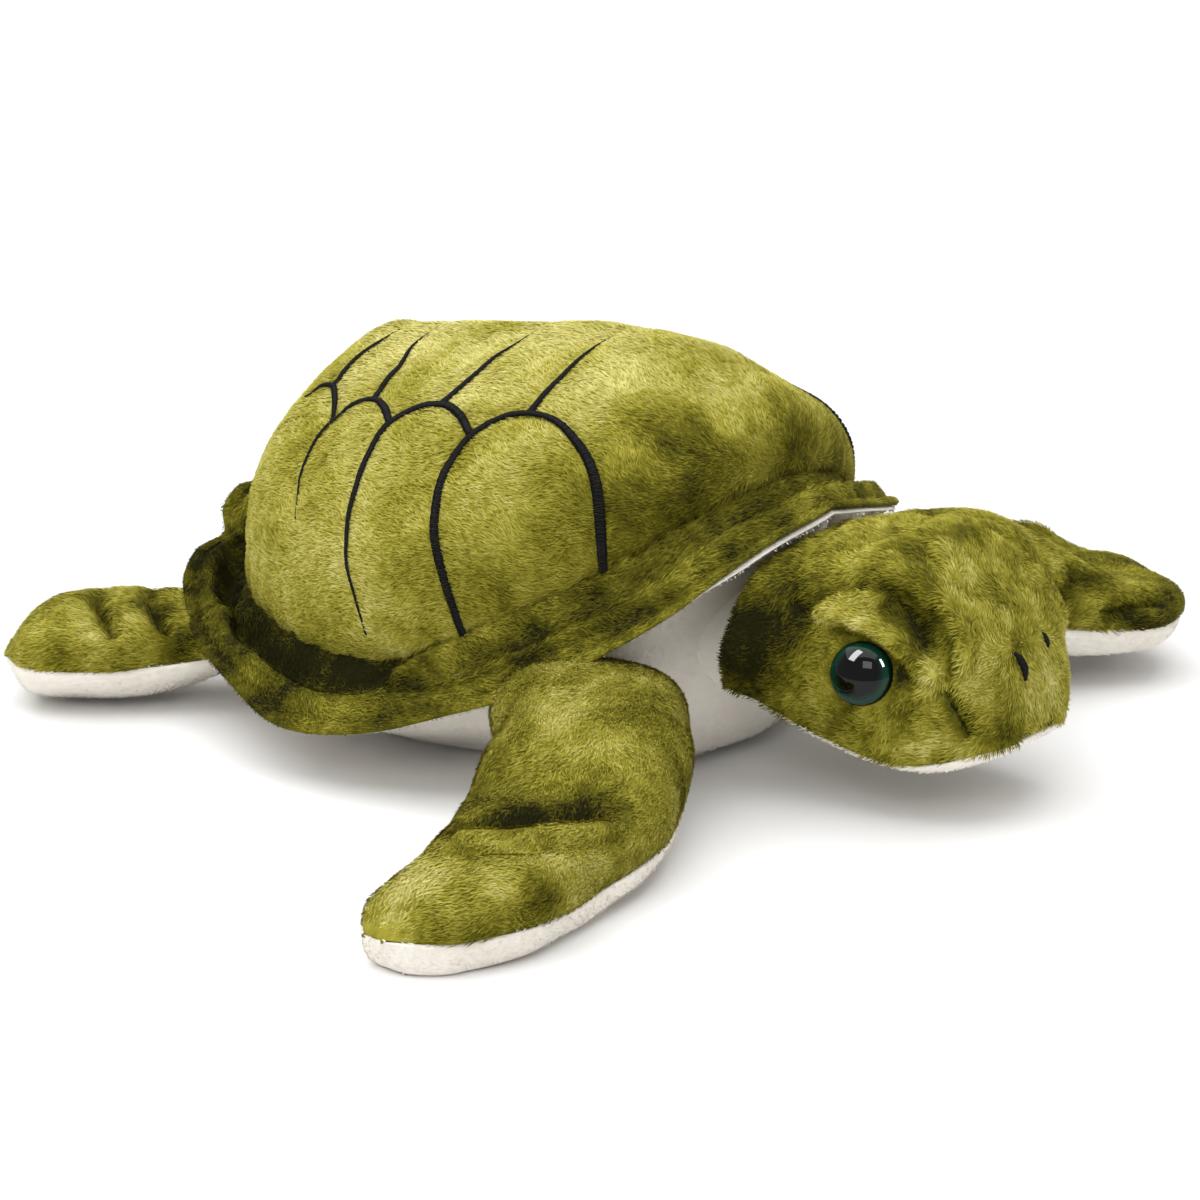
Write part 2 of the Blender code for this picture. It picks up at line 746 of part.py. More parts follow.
def make_head(wall):
    """Head and neck. The neck is a short sewn tube, and the head turns and nods at its middle."""
    front, _ = outer_point(wall, (0.0, 0.0, NECK_HEIGHT + NECK_RADIUS), (0.0, -1.0, 0.0))
    pivot = Vector((0.0, front.y - TRIM_GAP - NECK_LENGTH / 2, NECK_HEIGHT))
    neck = make_empty("neck_axis", pivot)
    neck.rotation_euler.x = math.radians(90.0)
    half = NECK_LENGTH / 2
    tube = turn_profile(
        "neck_cover",
        ((NECK_RADIUS, half), (NECK_RADIUS, -half), (NECK_RADIUS - LINING, -half),
         (NECK_RADIUS - LINING, half)),
        NECK_SIDES, lining, closed=True,
    )
    place(tube, neck)
    core = NECK_RADIUS - LINING - FILL_GAP
    plug = turn_profile(
        "neck_stuffing", ((0.0, half), (core, half), (core, -half), (0.0, -half)), NECK_SIDES, fibre
    )
    place(plug, neck)

    axis = make_empty("head_axis", pivot, math.radians(-90.0))
    head = Form(
        HEAD_SHARES, HEAD_COLUMNS, HEAD_LENGTH, HEAD_WIDTH / 2, JAW_SEAM_DROP, CROWN_RISE,
        CHIN_DEPTH, -(half + TRIM_GAP),
    )
    last = len(HEAD_ACROSS_SHARES) - 1
    panels = {
        "cheek_panel_left": (0, CHEEK_COLUMNS),
        "crown_panel": (CHEEK_COLUMNS, last - CHEEK_COLUMNS),
        "cheek_panel_right": (last - CHEEK_COLUMNS, last),
    }
    made = {}
    for name, (first, end) in panels.items():
        made[name] = soften(head.panel(name, True, PLUSH, plush, first, end))
    made["chin_panel"] = soften(head.panel("chin_panel", False, LINING, lining))
    head.columns = HEAD_FILL_COLUMNS
    made["head_stuffing"] = soften(head.stuffing("head_stuffing", PLUSH, fibre))
    for obj in made.values():
        obj.data.transform(Matrix.Translation((0.0, 0.0, JAW_SEAM_HEIGHT - NECK_HEIGHT)))
        place(obj, axis)
    return axis, made


def seat(name, point, normal, parent):
    """An empty at a point of the head's surface, with its Z along the normal."""
    empty = bpy.data.objects.new(name, None)
    TURTLE.objects.link(empty)
    empty.parent = parent
    world = Matrix.Translation(point) @ normal.to_track_quat("Z", "Y").to_matrix().to_4x4()
    empty.matrix_local = parent.matrix_world.inverted() @ world
    bpy.context.view_layer.update()
    return empty


def make_eyes(axis, panels):
    along = HEAD_LENGTH * EYE_ALONG_SHARE
    for side, word in SIDES:
        cheek = panels["cheek_panel_" + word]
        skin = surface_of([cheek])
        target = axis.matrix_world.translation + Vector((0.0, -along - NECK_LENGTH / 2, 0.0))
        target.z = EYE_HEIGHT
        point, normal = outer_point(skin, target, (side, 0.0, 0.0))
        inside, _, _, _ = skin.ray_cast(point - normal * TRIM_GAP, -normal)
        wall = (point - inside).length
        eye = seat("eye_seat_" + word, point, normal, axis)

        back_low = TRIM_GAP - EYE_SEAT_DEPTH
        back_high = back_low + EYE_BACK
        shank_end = back_low - SHANK_LENGTH
        back = turn_profile(
            "eye_back_" + word,
            ((0.0, back_high), (EYE_RADIUS, back_high), (EYE_RADIUS, back_low),
             (SHANK_RADIUS, back_low), (SHANK_RADIUS, shank_end), (0.0, shank_end)),
            EYE_STEPS, eye_black,
        )
        place(back, eye)
        dome_low = back_high + TRIM_GAP
        profile = []
        for k in range(EYE_DOME_POINTS + 1):
            angle = math.pi / 2 * k / EYE_DOME_POINTS
            profile.append((EYE_RADIUS * math.sin(angle), dome_low + EYE_DOME * math.cos(angle)))
        profile.append((0.0, dome_low))
        place(turn_profile("eye_dome_" + word, profile, EYE_STEPS, eye_clear), eye)

        washer_high = -wall - WASHER_SEAT
        hole = SHANK_RADIUS + TRIM_GAP
        washer = turn_profile(
            "eye_washer_" + word,
            ((WASHER_RADIUS, washer_high), (WASHER_RADIUS, washer_high - WASHER_THICKNESS),
             (hole, washer_high - WASHER_THICKNESS), (hole, washer_high)),
            EYE_STEPS, nylon, closed=True,
        )
        place(washer, eye)

        wide = EYE_RADIUS + TRIM_GAP
        seat_cutter = turn_profile(
            "eye_seat_cutter_" + word,
            ((0.0, OVERRUN), (wide, OVERRUN), (wide, -EYE_SEAT_DEPTH), (hole, -EYE_SEAT_DEPTH),
             (hole, -OVERRUN), (0.0, -OVERRUN)),
            EYE_STEPS, None,
        )
        hide_cutter(seat_cutter).parent = eye
        pocket_end = shank_end - FILL_GAP
        pocket = WASHER_RADIUS + FILL_GAP
        pocket_cutter = turn_profile(
            "eye_pocket_cutter_" + word,
            ((0.0, OVERRUN), (pocket, OVERRUN), (pocket, pocket_end), (0.0, pocket_end)),
            EYE_STEPS, None,
        )
        hide_cutter(pocket_cutter).parent = eye
        cut(cheek, seat_cutter)
        cut(panels["head_stuffing"], pocket_cutter)


def make_nostrils(axis, panels):
    skin = surface_of([panels["crown_panel"]])
    to_local = axis.matrix_world.inverted()
    for side, word in SIDES:
        points = []
        for k in range(NOSTRIL_POINTS):
            share = 2 * k / (NOSTRIL_POINTS - 1) - 1
            out = NOSTRIL_OFFSET + NOSTRIL_BOW * (1 - share * share)
            level = NOSTRIL_HEIGHT + NOSTRIL_LENGTH / 2 * share
            point, normal = outer_point(skin, (side * out, 0.0, level), (0.0, -1.0, 0.0))
            points.append(to_local @ (point + normal * (NOSTRIL_THREAD + TRIM_GAP)))
        place(make_tube("nostril_stitch_" + word, points, NOSTRIL_THREAD, thread), axis)


def outward(turn, elevation, side):
    """The direction from the shell's middle at a bearing and an elevation in degrees."""
    a, e = math.radians(turn), math.radians(elevation)
    return Vector((side * math.cos(a) * math.cos(e), math.sin(a) * math.cos(e), math.sin(e)))


def smooth_route(knots, spacing):
    """Directions along a smooth curve through a few others, at about the given spacing in radians."""
    route = []
    knots = [knots[0], *knots, knots[-1]]
    for i in range(1, len(knots) - 2):
        before, start, end, after = knots[i - 1:i + 3]
        count = max(1, round(start.angle(end) / spacing))
        for k in range(count):
            t = k / count
            bend = (2 * before - 5 * start + 4 * end - after) + t * (3 * (start - end) + after - before)
            route.append(start + 0.5 * t * ((end - before) + t * bend))
    route.append(knots[-1])
    return route


def make_stitches(shell):
    middle = Vector((0.0, 0.0, SEAM_HEIGHT))
    spacing = STITCH_SPACING / (SHELL_WIDTH / 2)

    def sewn(knots, side):
        points = []
        for out in smooth_route([outward(*knot, side) for knot in knots], spacing):
            point, normal = outer_point(shell, middle, out)
            if point is not None:
                # a stitch ends where its panel does, at the seam
                points.append(point + normal * (STITCH_RADIUS + STITCH_GAP))
        return points

    for side, word in SIDES:
        for number, knots in enumerate(SCUTES, 1):
            name = "scute_stitch_%s_%d" % (word, number)
            place(make_tube(name, sewn(knots, side), STITCH_RADIUS, thread))
    for number, knots in enumerate(RIDGES, 1):
        points = sewn(knots, RIGHT)[:-1] + sewn(knots, LEFT)[::-1]
        place(make_tube("ridge_stitch_%d" % number, points, STITCH_RADIUS, thread))


floor_cutter = make_floor_cutter()
shell_piece, belly_piece = make_body(floor_cutter)
body_wall = surface_of([shell_piece, belly_piece])
make_flippers(body_wall, floor_cutter)
make_tail(body_wall)
head_axis, head_panels = make_head(body_wall)
make_nostrils(head_axis, head_panels)
make_eyes(head_axis, head_panels)
make_stitches(surface_of([shell_piece]))
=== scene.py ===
import json
import math

import bmesh
import bpy
import numpy as np
from mathutils import Euler, Matrix, Vector
from mathutils.bvhtree import BVHTree


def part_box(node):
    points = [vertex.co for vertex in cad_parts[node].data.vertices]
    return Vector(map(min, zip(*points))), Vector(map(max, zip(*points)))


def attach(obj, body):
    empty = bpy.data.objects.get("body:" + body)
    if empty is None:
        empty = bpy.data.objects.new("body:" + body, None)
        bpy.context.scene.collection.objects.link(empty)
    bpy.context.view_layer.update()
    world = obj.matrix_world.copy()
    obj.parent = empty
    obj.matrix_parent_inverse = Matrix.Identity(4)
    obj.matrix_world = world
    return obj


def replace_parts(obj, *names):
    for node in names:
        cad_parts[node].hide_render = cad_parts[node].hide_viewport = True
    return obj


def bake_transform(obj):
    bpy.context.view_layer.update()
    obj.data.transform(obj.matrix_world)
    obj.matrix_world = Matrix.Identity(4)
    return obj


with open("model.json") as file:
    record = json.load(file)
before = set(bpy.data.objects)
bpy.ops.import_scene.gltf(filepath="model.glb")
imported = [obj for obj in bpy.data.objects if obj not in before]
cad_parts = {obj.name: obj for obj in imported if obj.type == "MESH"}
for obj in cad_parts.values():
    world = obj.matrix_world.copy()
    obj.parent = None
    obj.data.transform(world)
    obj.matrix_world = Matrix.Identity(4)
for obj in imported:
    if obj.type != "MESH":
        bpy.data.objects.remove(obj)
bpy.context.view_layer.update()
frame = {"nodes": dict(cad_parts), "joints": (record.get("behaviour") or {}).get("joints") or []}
MM = 0.001

# Camera, as it stood for the photograph
VIEW_TARGET = Vector((-22, -45, 50)) * MM
VIEW_AZIMUTH = math.radians(-53)
VIEW_ELEVATION = math.radians(16)
VIEW_DISTANCE = 1.5
LENS = 132.3
SENSOR = 36.0
PHOTO_SIDE = 1200


def sight_axes():
    a, e = VIEW_AZIMUTH, VIEW_ELEVATION
    back = Vector((math.sin(a) * math.cos(e), -math.cos(a) * math.cos(e), math.sin(e)))
    right = Vector((math.cos(a), math.sin(a), 0.0))
    return back, right, back.cross(right)


BACK, RIGHTWARD, UPWARD = sight_axes()
EYE_POINT = VIEW_TARGET + BACK * VIEW_DISTANCE


def make_camera():
    data = bpy.data.cameras.new("photo_camera")
    camera = bpy.data.objects.new("photo_camera", data)
    bpy.context.scene.collection.objects.link(camera)
    camera.location = EYE_POINT
    camera.rotation_euler = BACK.to_track_quat("Z", "Y").to_euler()
    data.lens = LENS
    data.sensor_width = SENSOR
    data.clip_start = 0.05
    bpy.context.scene.camera = camera


def seen(surface, pixels):
    """The points of a surface that lie under pixels of the photograph."""
    focal = LENS / SENSOR * PHOTO_SIDE
    found = []
    for px, py in pixels:
        ray = RIGHTWARD * (px - PHOTO_SIDE / 2) - UPWARD * (py - PHOTO_SIDE / 2) - BACK * focal
        hit = surface.ray_cast(EYE_POINT, ray.normalized())[0]
        if hit is not None:
            found.append(hit)
    return found


def mirrored(points):
    return [Vector((-p[0], p[1], p[2])) for p in points]


# Colours of cloth, thread and plastic, as the photograph shows them

def srgb(red, green, blue):
    return tuple((c / 255 / 12.92) if c < 10 else ((c / 255 + 0.055) / 1.055) ** 2.4 for c in (red, green, blue))


DEEP_GREEN = srgb(36, 35, 4)
MOSS_GREEN = srgb(108, 103, 20)
LEAF_GREEN = srgb(168, 160, 58)
PALE_GREEN = srgb(224, 216, 138)
WARM_WHITE = srgb(242, 236, 226)
SOFT_WHITE = srgb(216, 206, 190)

# Pile and cloth
CLOTH = 1.2 * MM
GREEN_PILE = 2.9 * MM
WHITE_PILE = 1.3 * MM
STRAND_WIDTH = 0.36 * MM
GREEN_STRANDS = 2.4e6       # per square metre
WHITE_STRANDS = 1.2e6
PILE_ROOM = 1.0 * MM        # the skin lies this far inside the outline that the pile makes


def curve(table, places):
    """Values at some places on a smooth curve through a table's rows, whose first column is the place."""
    rows = np.array(table, float)
    x, y = rows[:, 0], rows[:, 1:]
    slope = np.gradient(y, x, axis=0)
    shape = np.shape(places)
    t = np.clip(np.ravel(places), x[0], x[-1])
    i = np.clip(np.searchsorted(x, t, side="right") - 1, 0, len(x) - 2)
    step = (x[i + 1] - x[i])[:, None]
    u = (t - x[i])[:, None] / step
    value = (1 + 2 * u) * (1 - u) ** 2 * y[i] + u * (1 - u) ** 2 * step * slope[i]
    value += u * u * (3 - 2 * u) * y[i + 1] + u * u * (u - 1) * step * slope[i + 1]
    return [value[:, k].reshape(shape) for k in range(y.shape[1])]


def smoothstep(low, high, value):
    t = np.clip((value - low) / (high - low), 0, 1)
    return t * t * (3 - 2 * t)


def ripple(points, size, seed):
    """A smooth random value from about -1 to 1 at each point, in bumps of about the given size."""
    chance = np.random.default_rng(seed)
    value = np.zeros(points.shape[:-1])
    for _ in range(8):
        way = chance.normal(size=3)
        way /= np.linalg.norm(way)
        wave = 2 * math.pi / (size * chance.uniform(0.8, 1.7))
        value += np.sin(points @ way * wave + chance.uniform(0, 2 * math.pi))
    return value / 3


def from_path(points, path):
    """Each point's distance from a path, and how far along the path it lies, from 0 to 1."""
    path = np.array([tuple(p) for p in path])
    flat = points.reshape(-1, 3)
    best = np.full(len(flat), 1e9)
    along = np.zeros(len(flat))
    lengths = np.linalg.norm(np.diff(path, axis=0), axis=1)
    starts = np.concatenate([[0], np.cumsum(lengths)])
    for a, b, start, length in zip(path, path[1:], starts, lengths):
        t = np.clip((flat - a) @ (b - a) / max(length ** 2, 1e-12), 0, 1)
        gap = np.linalg.norm(flat - (a + t[:, None] * (b - a)), axis=1)
        near = gap < best
        best[near] = gap[near]
        along[near] = (start + t[near] * length) / starts[-1]
    return best.reshape(points.shape[:-1]), along.reshape(points.shape[:-1])


class Skin:
    """A cloth skin as a grid of points. It is shaped before it becomes a mesh."""

    def __init__(self, points, facing, ring=False):
        self.points = np.array(points, float)
        self.facing = np.array(facing, float)
        self.ring = ring
        self.shade = np.zeros(self.points.shape[:2])
        self.cover = np.ones(self.points.shape[:2])
        self.pile = np.ones(self.points.shape[:2])
        self.thick = np.ones(self.points.shape[:2])

    def ways(self):
        down = np.gradient(self.points, axis=0)
        if self.ring:
            across = (np.roll(self.points, -1, 1) - np.roll(self.points, 1, 1)) / 2
        else:
            across = np.gradient(self.points, axis=1)
        return down, across

    def normals(self):
        normal = np.cross(*self.ways())
        normal /= np.maximum(np.linalg.norm(normal, axis=2, keepdims=True), 1e-12)
        return normal if (normal @ self.facing).mean() > 0 else -normal

    def push(self, amount):
        self.points += self.normals() * np.broadcast_to(amount, self.points.shape[:2])[..., None]

    def press(self, path, depth, width, fade=0.12, shade=0.0, bare=0.0):
        """A groove along a path, or a ridge where the depth is negative. It fades out at its ends.
        shade darkens it with painted shade, as in a groove, or lightens it with painted light where shade is negative,
        as on a ridge.
        bare is the share of the pile that is missing at its middle, as in a seam."""
        if len(path) < 2:
            return
        gap, along = from_path(self.points, path)
        ends = smoothstep(0, fade, along) * smoothstep(0, fade, 1 - along) if fade else 1.0
        share = np.exp(-(gap / width) ** 2) * ends
        self.push(-depth * share)
        self.shade += shade * np.exp(-(gap / width / 1.4) ** 2) * ends
        self.cover *= 1 - bare * np.exp(-(gap / width * 1.4) ** 2) * ends

    def mottle(self, amount, size, seed, where=1.0):
        """Darker patches, where the nap was stroked another way."""
        patches = smoothstep(0.05, 0.75, ripple(self.points, size, seed))
        self.shade += amount * patches * where

    def swell(self, centre, radius, amount, shade=0.0):
        gap = np.linalg.norm(self.points - np.array(tuple(centre)), axis=2)
        share = np.exp(-(gap / radius) ** 2)
        self.push(amount * share)
        self.shade += shade * share

    def ruffle(self, amount, size, seed):
        self.push(amount * ripple(self.points, size, seed))

    def stroke(self, patches, sides=(-1,)):
        """Patches painted darker or lighter, partly the nap and partly painted shade and painted light: (pixel across,
        pixel down, radius in mm, shade).
        """
        surface = self.surface()
        for px, py, radius, amount in patches:
            for place in seen(surface, [(px, py)]):
                for side in sides:
                    centre = np.array((-side * place[0], place[1], place[2]))
                    gap = np.linalg.norm(self.points - centre, axis=2)
                    self.shade += amount * np.exp(-(gap / (radius * MM)) ** 2)

    def surface(self):
        rows, columns = self.points.shape[:2]
        points = self.points.reshape(-1, 3)
        return BVHTree.FromPolygons([Vector(p) for p in points], grid_faces(rows, columns, self.ring))

    def stand_on_floor(self, height=0.3 * MM):
        self.points[..., 2] = np.maximum(self.points[..., 2], height)


def grid_faces(rows, columns, ring, first=0, turned=False):
    index = first + np.arange(rows * columns).reshape(rows, columns)
    if ring:
        index = np.concatenate([index, index[:, :1]], axis=1)
    faces = np.stack([index[:-1, :-1], index[1:, :-1], index[1:, 1:], index[:-1, 1:]], axis=-1).reshape(-1, 4)
    return (faces[:, ::-1] if turned else faces).tolist()


def put(mesh, name, kind, values):
    layer = mesh.attributes.new(name, kind, "POINT")
    field = "vector" if kind == "FLOAT_VECTOR" else "value"
    layer.data.foreach_set(field, np.ascontiguousarray(values, np.float32).ravel())


def take(mesh, name, width):
    field = "vector" if width == 3 else "value"
    values = np.zeros(len(mesh.vertices) * width, np.float32)
    mesh.attributes[name].data.foreach_get(field, values)
    return values.reshape(-1, width) if width > 1 else values


def lay_map(mesh, places):
    """The map that the finish is laid out on, from a place from 0 to 1 for each vertex."""
    corner = np.zeros(len(mesh.loops), np.int32)
    mesh.loops.foreach_get("vertex_index", corner)
    mesh.uv_layers.new(name="OFBake").data.foreach_set("uv", places[corner].astype(np.float32).ravel())


def add_object(name, mesh, finish):
    mesh.materials.clear()
    mesh.materials.append(finish)
    obj = bpy.data.objects.new(name, mesh)
    bpy.context.scene.collection.objects.link(obj)
    return obj


MAP_EDGE = 0.012


def sew(skin, name, finish, lie, wander=0.5, thickness=CLOTH):
    """The cloth of a skin as a closed mesh with an inner side. lie is the way in which its pile lies."""
    rows, columns = skin.points.shape[:2]
    outer = skin.points
    normal = skin.normals()
    inner = outer - normal * (thickness * skin.thick)[..., None]
    lie = np.broadcast_to(np.array(lie, float), outer.shape)
    lie = lie - normal * (lie * normal).sum(2, keepdims=True)
    lie = lie / np.maximum(np.linalg.norm(lie, axis=2, keepdims=True), 1e-9)
    turn = (wander * ripple(outer, 26 * MM, 5) + wander * 0.5 * ripple(outer, 9 * MM, 6))[..., None]
    lie = lie * np.cos(turn) + np.cross(normal, lie) * np.sin(turn)
    count = rows * columns
    faces = grid_faces(rows, columns, skin.ring) + grid_faces(rows, columns, skin.ring, count, True)
    index = np.arange(count).reshape(rows, columns)
    if skin.ring:
        rims = [index[0].tolist() + [index[0, 0]], index[-1][::-1].tolist() + [index[-1, -1]]]
    else:
        rim = index[0].tolist() + index[1:, -1].tolist() + index[-1, -2::-1].tolist() + index[-2::-1, 0].tolist()
        rims = [rim]
    for rim in rims:
        faces += [(a, b, b + count, a + count) for a, b in zip(rim, rim[1:])]
    mesh = bpy.data.meshes.new(name)
    mesh.from_pydata(np.concatenate([outer.reshape(-1, 3), inner.reshape(-1, 3)]).tolist(), [], faces)
    bm = bmesh.new()
    bm.from_mesh(mesh)
    bmesh.ops.recalc_face_normals(bm, faces=bm.faces)
    bm.to_mesh(mesh)
    bm.free()
    mesh.shade_smooth()
    down, side = np.meshgrid(np.linspace(0, 1, rows), np.linspace(0, 1, columns), indexing="ij")
    cell = np.stack([down, side, np.zeros_like(down)], axis=-1)
    twice = lambda values: np.concatenate([values.reshape(count, -1)] * 2)
    put(mesh, "lie", "FLOAT_VECTOR", twice(lie))
    put(mesh, "cell", "FLOAT_VECTOR", twice(cell))
    put(mesh, "shade", "FLOAT", twice(skin.shade))
    put(mesh, "pile", "FLOAT", twice(skin.pile))
    # the skin under the pile is toned as the pile's roots are, with their painted shade
    put(mesh, "tip", "FLOAT", np.full(count * 2, 0.30))
    put(mesh, "strand", "FLOAT", np.full(count * 2, 0.5))
    put(mesh, "cover", "FLOAT", np.concatenate([skin.cover.ravel(), np.zeros(count)]))
    lay_map(mesh, MAP_EDGE + (1 - 2 * MAP_EDGE) * twice(cell)[:, :2])
    return add_object(name, mesh, finish)


# Node trees

def wire(tree, source, target):
    tree.links.new(source, target)


def new_node(tree, kind, **settings):
    made = tree.nodes.new(kind)
    for key, value in settings.items():
        setattr(made, key, value)
    return made


def feed(tree, made, **inputs):
    """Sets or links a node's inputs, named by number or name with spaces as underscores."""
    for key, value in inputs.items():
        socket = made.inputs[int(key[1:])] if key[0] == "i" and key[1:].isdigit() else made.inputs[key.replace("_", " ")]
        if isinstance(value, bpy.types.NodeSocket):
            wire(tree, value, socket)
        else:
            socket.default_value = value
    return made


def math_node(tree, operation, a, b=0.0, c=0.0, clamp=False):
    made = new_node(tree, "ShaderNodeMath", operation=operation, use_clamp=clamp)
    return feed(tree, made, i0=a, i1=b, i2=c).outputs[0]


def vector_node(tree, operation, a, b=None, scale=None):
    made = new_node(tree, "ShaderNodeVectorMath", operation=operation)
    feed(tree, made, i0=a)
    if b is not None:
        feed(tree, made, i1=b)
    if scale is not None:
        feed(tree, made, Scale=scale)
    return made.outputs[0]


def sockets(tree, way, listed):
    for name, kind, value in listed:
        made = tree.interface.new_socket(name, in_out=way, socket_type="NodeSocket" + kind)
        if value is not None:
            made.default_value = value


def strand_object():
    """One strand of pile: a bent blade from its root at the origin to its tip at x = 1."""
    points = [(0.0, 0.0, 0.0), (0.45, 0.5, 0.05), (0.45, -0.5, 0.05), (1.0, 0.0, -0.04)]
    mesh = bpy.data.meshes.new("strand")
    mesh.from_pydata(points, [], [(0, 2, 1), (1, 2, 3)])
    # tip runs from 0 at the root to 1 at the tip; the roots are painted darker, as shade deep in the pile
    put(mesh, "tip", "FLOAT", [0.0, 0.55, 0.55, 1.0])
    put(mesh, "spread", "FLOAT", [0.0, 1.0, -1.0, 0.0])
    return bpy.data.objects.new("strand", mesh)


def read_attribute(tree, name, kind):
    return feed(tree, new_node(tree, "GeometryNodeInputNamedAttribute", data_type=kind), Name=name).outputs[0]


def store(tree, geometry, name, kind, value):
    made = new_node(tree, "GeometryNodeStoreNamedAttribute", data_type=kind, domain="POINT")
    return feed(tree, made, Geometry=geometry, Name=name, Value=value).outputs[0]


def random_value(tree, low, high, seed):
    made = new_node(tree, "FunctionNodeRandomValue", data_type="FLOAT")
    made.inputs[2].default_value = low
    made.inputs[3].default_value = high
    made.inputs[8].default_value = seed
    return made.outputs[1]


def pile_tree(strand):
    """Blades of pile, rooted all over a skin. They lie along its nap and lift a little off it."""
    tree = bpy.data.node_groups.new("plush_pile", "GeometryNodeTree")
    sockets(tree, "INPUT", [
        ("Skin", "Geometry", None), ("Strands", "Float", 1.0e6), ("Length", "Float", 0.005),
        ("Width", "Float", 0.0005), ("Lift", "Float", 0.5), ("Wander", "Float", 0.4),
        ("Seed", "Int", 1), ("Finish", "Material", None),
    ])
    sockets(tree, "OUTPUT", [("Pile", "Geometry", None)])
    given = new_node(tree, "NodeGroupInput").outputs
    density = math_node(tree, "MULTIPLY", read_attribute(tree, "cover", "FLOAT"), given["Strands"])
    spread = new_node(tree, "GeometryNodeDistributePointsOnFaces", distribute_method="RANDOM")
    feed(tree, spread, Mesh=given["Skin"], Density=density, Seed=given["Seed"])
    normal = spread.outputs["Normal"]
    roots = store(tree, spread.outputs["Points"], "up", "FLOAT_VECTOR", normal)
    roots = store(tree, roots, "strand", "FLOAT", random_value(tree, 0.0, 1.0, 3))
    yaw = math_node(tree, "MULTIPLY", random_value(tree, -1.0, 1.0, 4), given["Wander"])
    turned = new_node(tree, "ShaderNodeVectorRotate", rotation_type="AXIS_ANGLE")
    feed(tree, turned, Vector=read_attribute(tree, "lie", "FLOAT_VECTOR"), Axis=normal, Angle=yaw)
    lift = math_node(tree, "MULTIPLY", random_value(tree, 0.55, 1.5, 5), given["Lift"])
    flat = vector_node(tree, "SCALE", turned.outputs[0], scale=math_node(tree, "COSINE", lift))
    high = vector_node(tree, "SCALE", normal, scale=math_node(tree, "SINE", lift))
    roll = new_node(tree, "FunctionNodeRandomValue", data_type="FLOAT_VECTOR")
    feed(tree, roll, i0=(-0.45, -0.45, -0.45), i1=(0.45, 0.45, 0.45), i8=6)
    aim = new_node(tree, "FunctionNodeAxesToRotation", primary_axis="X", secondary_axis="Z")
    feed(tree, aim, i0=vector_node(tree, "ADD", flat, high), i1=vector_node(tree, "ADD", normal, roll.outputs[0]))
    length = math_node(tree, "MULTIPLY", random_value(tree, 0.7, 1.2, 7), given["Length"])
    length = math_node(tree, "MULTIPLY", length, read_attribute(tree, "pile", "FLOAT"))
    width = math_node(tree, "MULTIPLY", random_value(tree, 0.7, 1.3, 8), given["Width"])
    size = feed(tree, new_node(tree, "ShaderNodeCombineXYZ"), X=length, Y=width, Z=length).outputs[0]
    source = new_node(tree, "GeometryNodeObjectInfo")
    source.inputs["Object"].default_value = strand
    planted = new_node(tree, "GeometryNodeInstanceOnPoints")
    feed(tree, planted, Points=roots, Instance=source.outputs["Geometry"], Rotation=aim.outputs[0], Scale=size)
    real = feed(tree, new_node(tree, "GeometryNodeRealizeInstances"), Geometry=planted.outputs[0]).outputs[0]
    done = feed(tree, new_node(tree, "GeometryNodeSetMaterial"), Geometry=real, Material=given["Finish"]).outputs[0]
    wire(tree, done, new_node(tree, "NodeGroupOutput").inputs[0])
    return tree


def run_tree(tree, obj, **values):
    """Runs a tree on an object and gives its result as a plain mesh."""
    modifier = obj.modifiers.new(tree.name, "NODES")
    modifier.node_group = tree
    for item in tree.interface.items_tree:
        if item.item_type == "SOCKET" and item.in_out == "INPUT" and item.name in values:
            modifier[item.identifier] = values[item.name]
    depsgraph = bpy.context.evaluated_depsgraph_get()
    evaluated = obj.evaluated_get(depsgraph)
    mesh = bpy.data.meshes.new_from_object(evaluated, preserve_all_data_layers=True, depsgraph=depsgraph)
    obj.modifiers.remove(modifier)
    return mesh


BLADE_ON_MAP = 0.0016
SKIN_LIGHT = 0.93           # how far a strand is lit as the skin under it is


def grow(skin_object, name, finish, strands, length, lift, wander, seed, width=STRAND_WIDTH, bands=1):
    """The pile on a skin, in as many pieces as there are bands across it."""
    skin = skin_object.data
    cover = take(skin, "cover", 1)
    band = np.minimum((take(skin, "cell", 3)[:, 0] * bands).astype(int), bands - 1)
    grown = []
    for k in range(bands):
        skin.attributes["cover"].data.foreach_set("value", np.where(band == k, cover, 0).astype(np.float32))
        piece_name = name if bands == 1 else "%s_%d" % (name, k + 1)
        grown.append(grow_band(skin_object, piece_name, finish, strands, length, lift, wander, seed, width))
    skin.attributes["cover"].data.foreach_set("value", cover)
    return grown


def grow_band(skin_object, name, finish, strands, length, lift, wander, seed, width):
    thin = 1.0
    mesh = run_tree(PILE, skin_object, Strands=strands * thin, Length=length, Lift=lift, Wander=wander,
                    Seed=seed, Width=width / thin ** 0.5, Finish=finish)
    up = take(mesh, "up", 3)
    own = np.zeros(len(mesh.vertices) * 3, np.float32)
    mesh.vertices.foreach_get("normal", own)
    own = own.reshape(-1, 3)
    own *= np.where((own * up).sum(1, keepdims=True) < 0, -1, 1)
    light = up * SKIN_LIGHT + own * (1 - SKIN_LIGHT)
    light /= np.linalg.norm(light, axis=1, keepdims=True)
    mesh.shade_smooth()
    mesh.normals_split_custom_set_from_vertices(light.tolist())
    places = MAP_EDGE + (1 - 2 * MAP_EDGE) * take(mesh, "cell", 3)[:, :2]
    places[:, 0] += BLADE_ON_MAP * take(mesh, "tip", 1)
    places[:, 1] += BLADE_ON_MAP * take(mesh, "spread", 1)
    lay_map(mesh, places)
    mesh.name = name
    return add_object(name, mesh, finish)


# Finishes

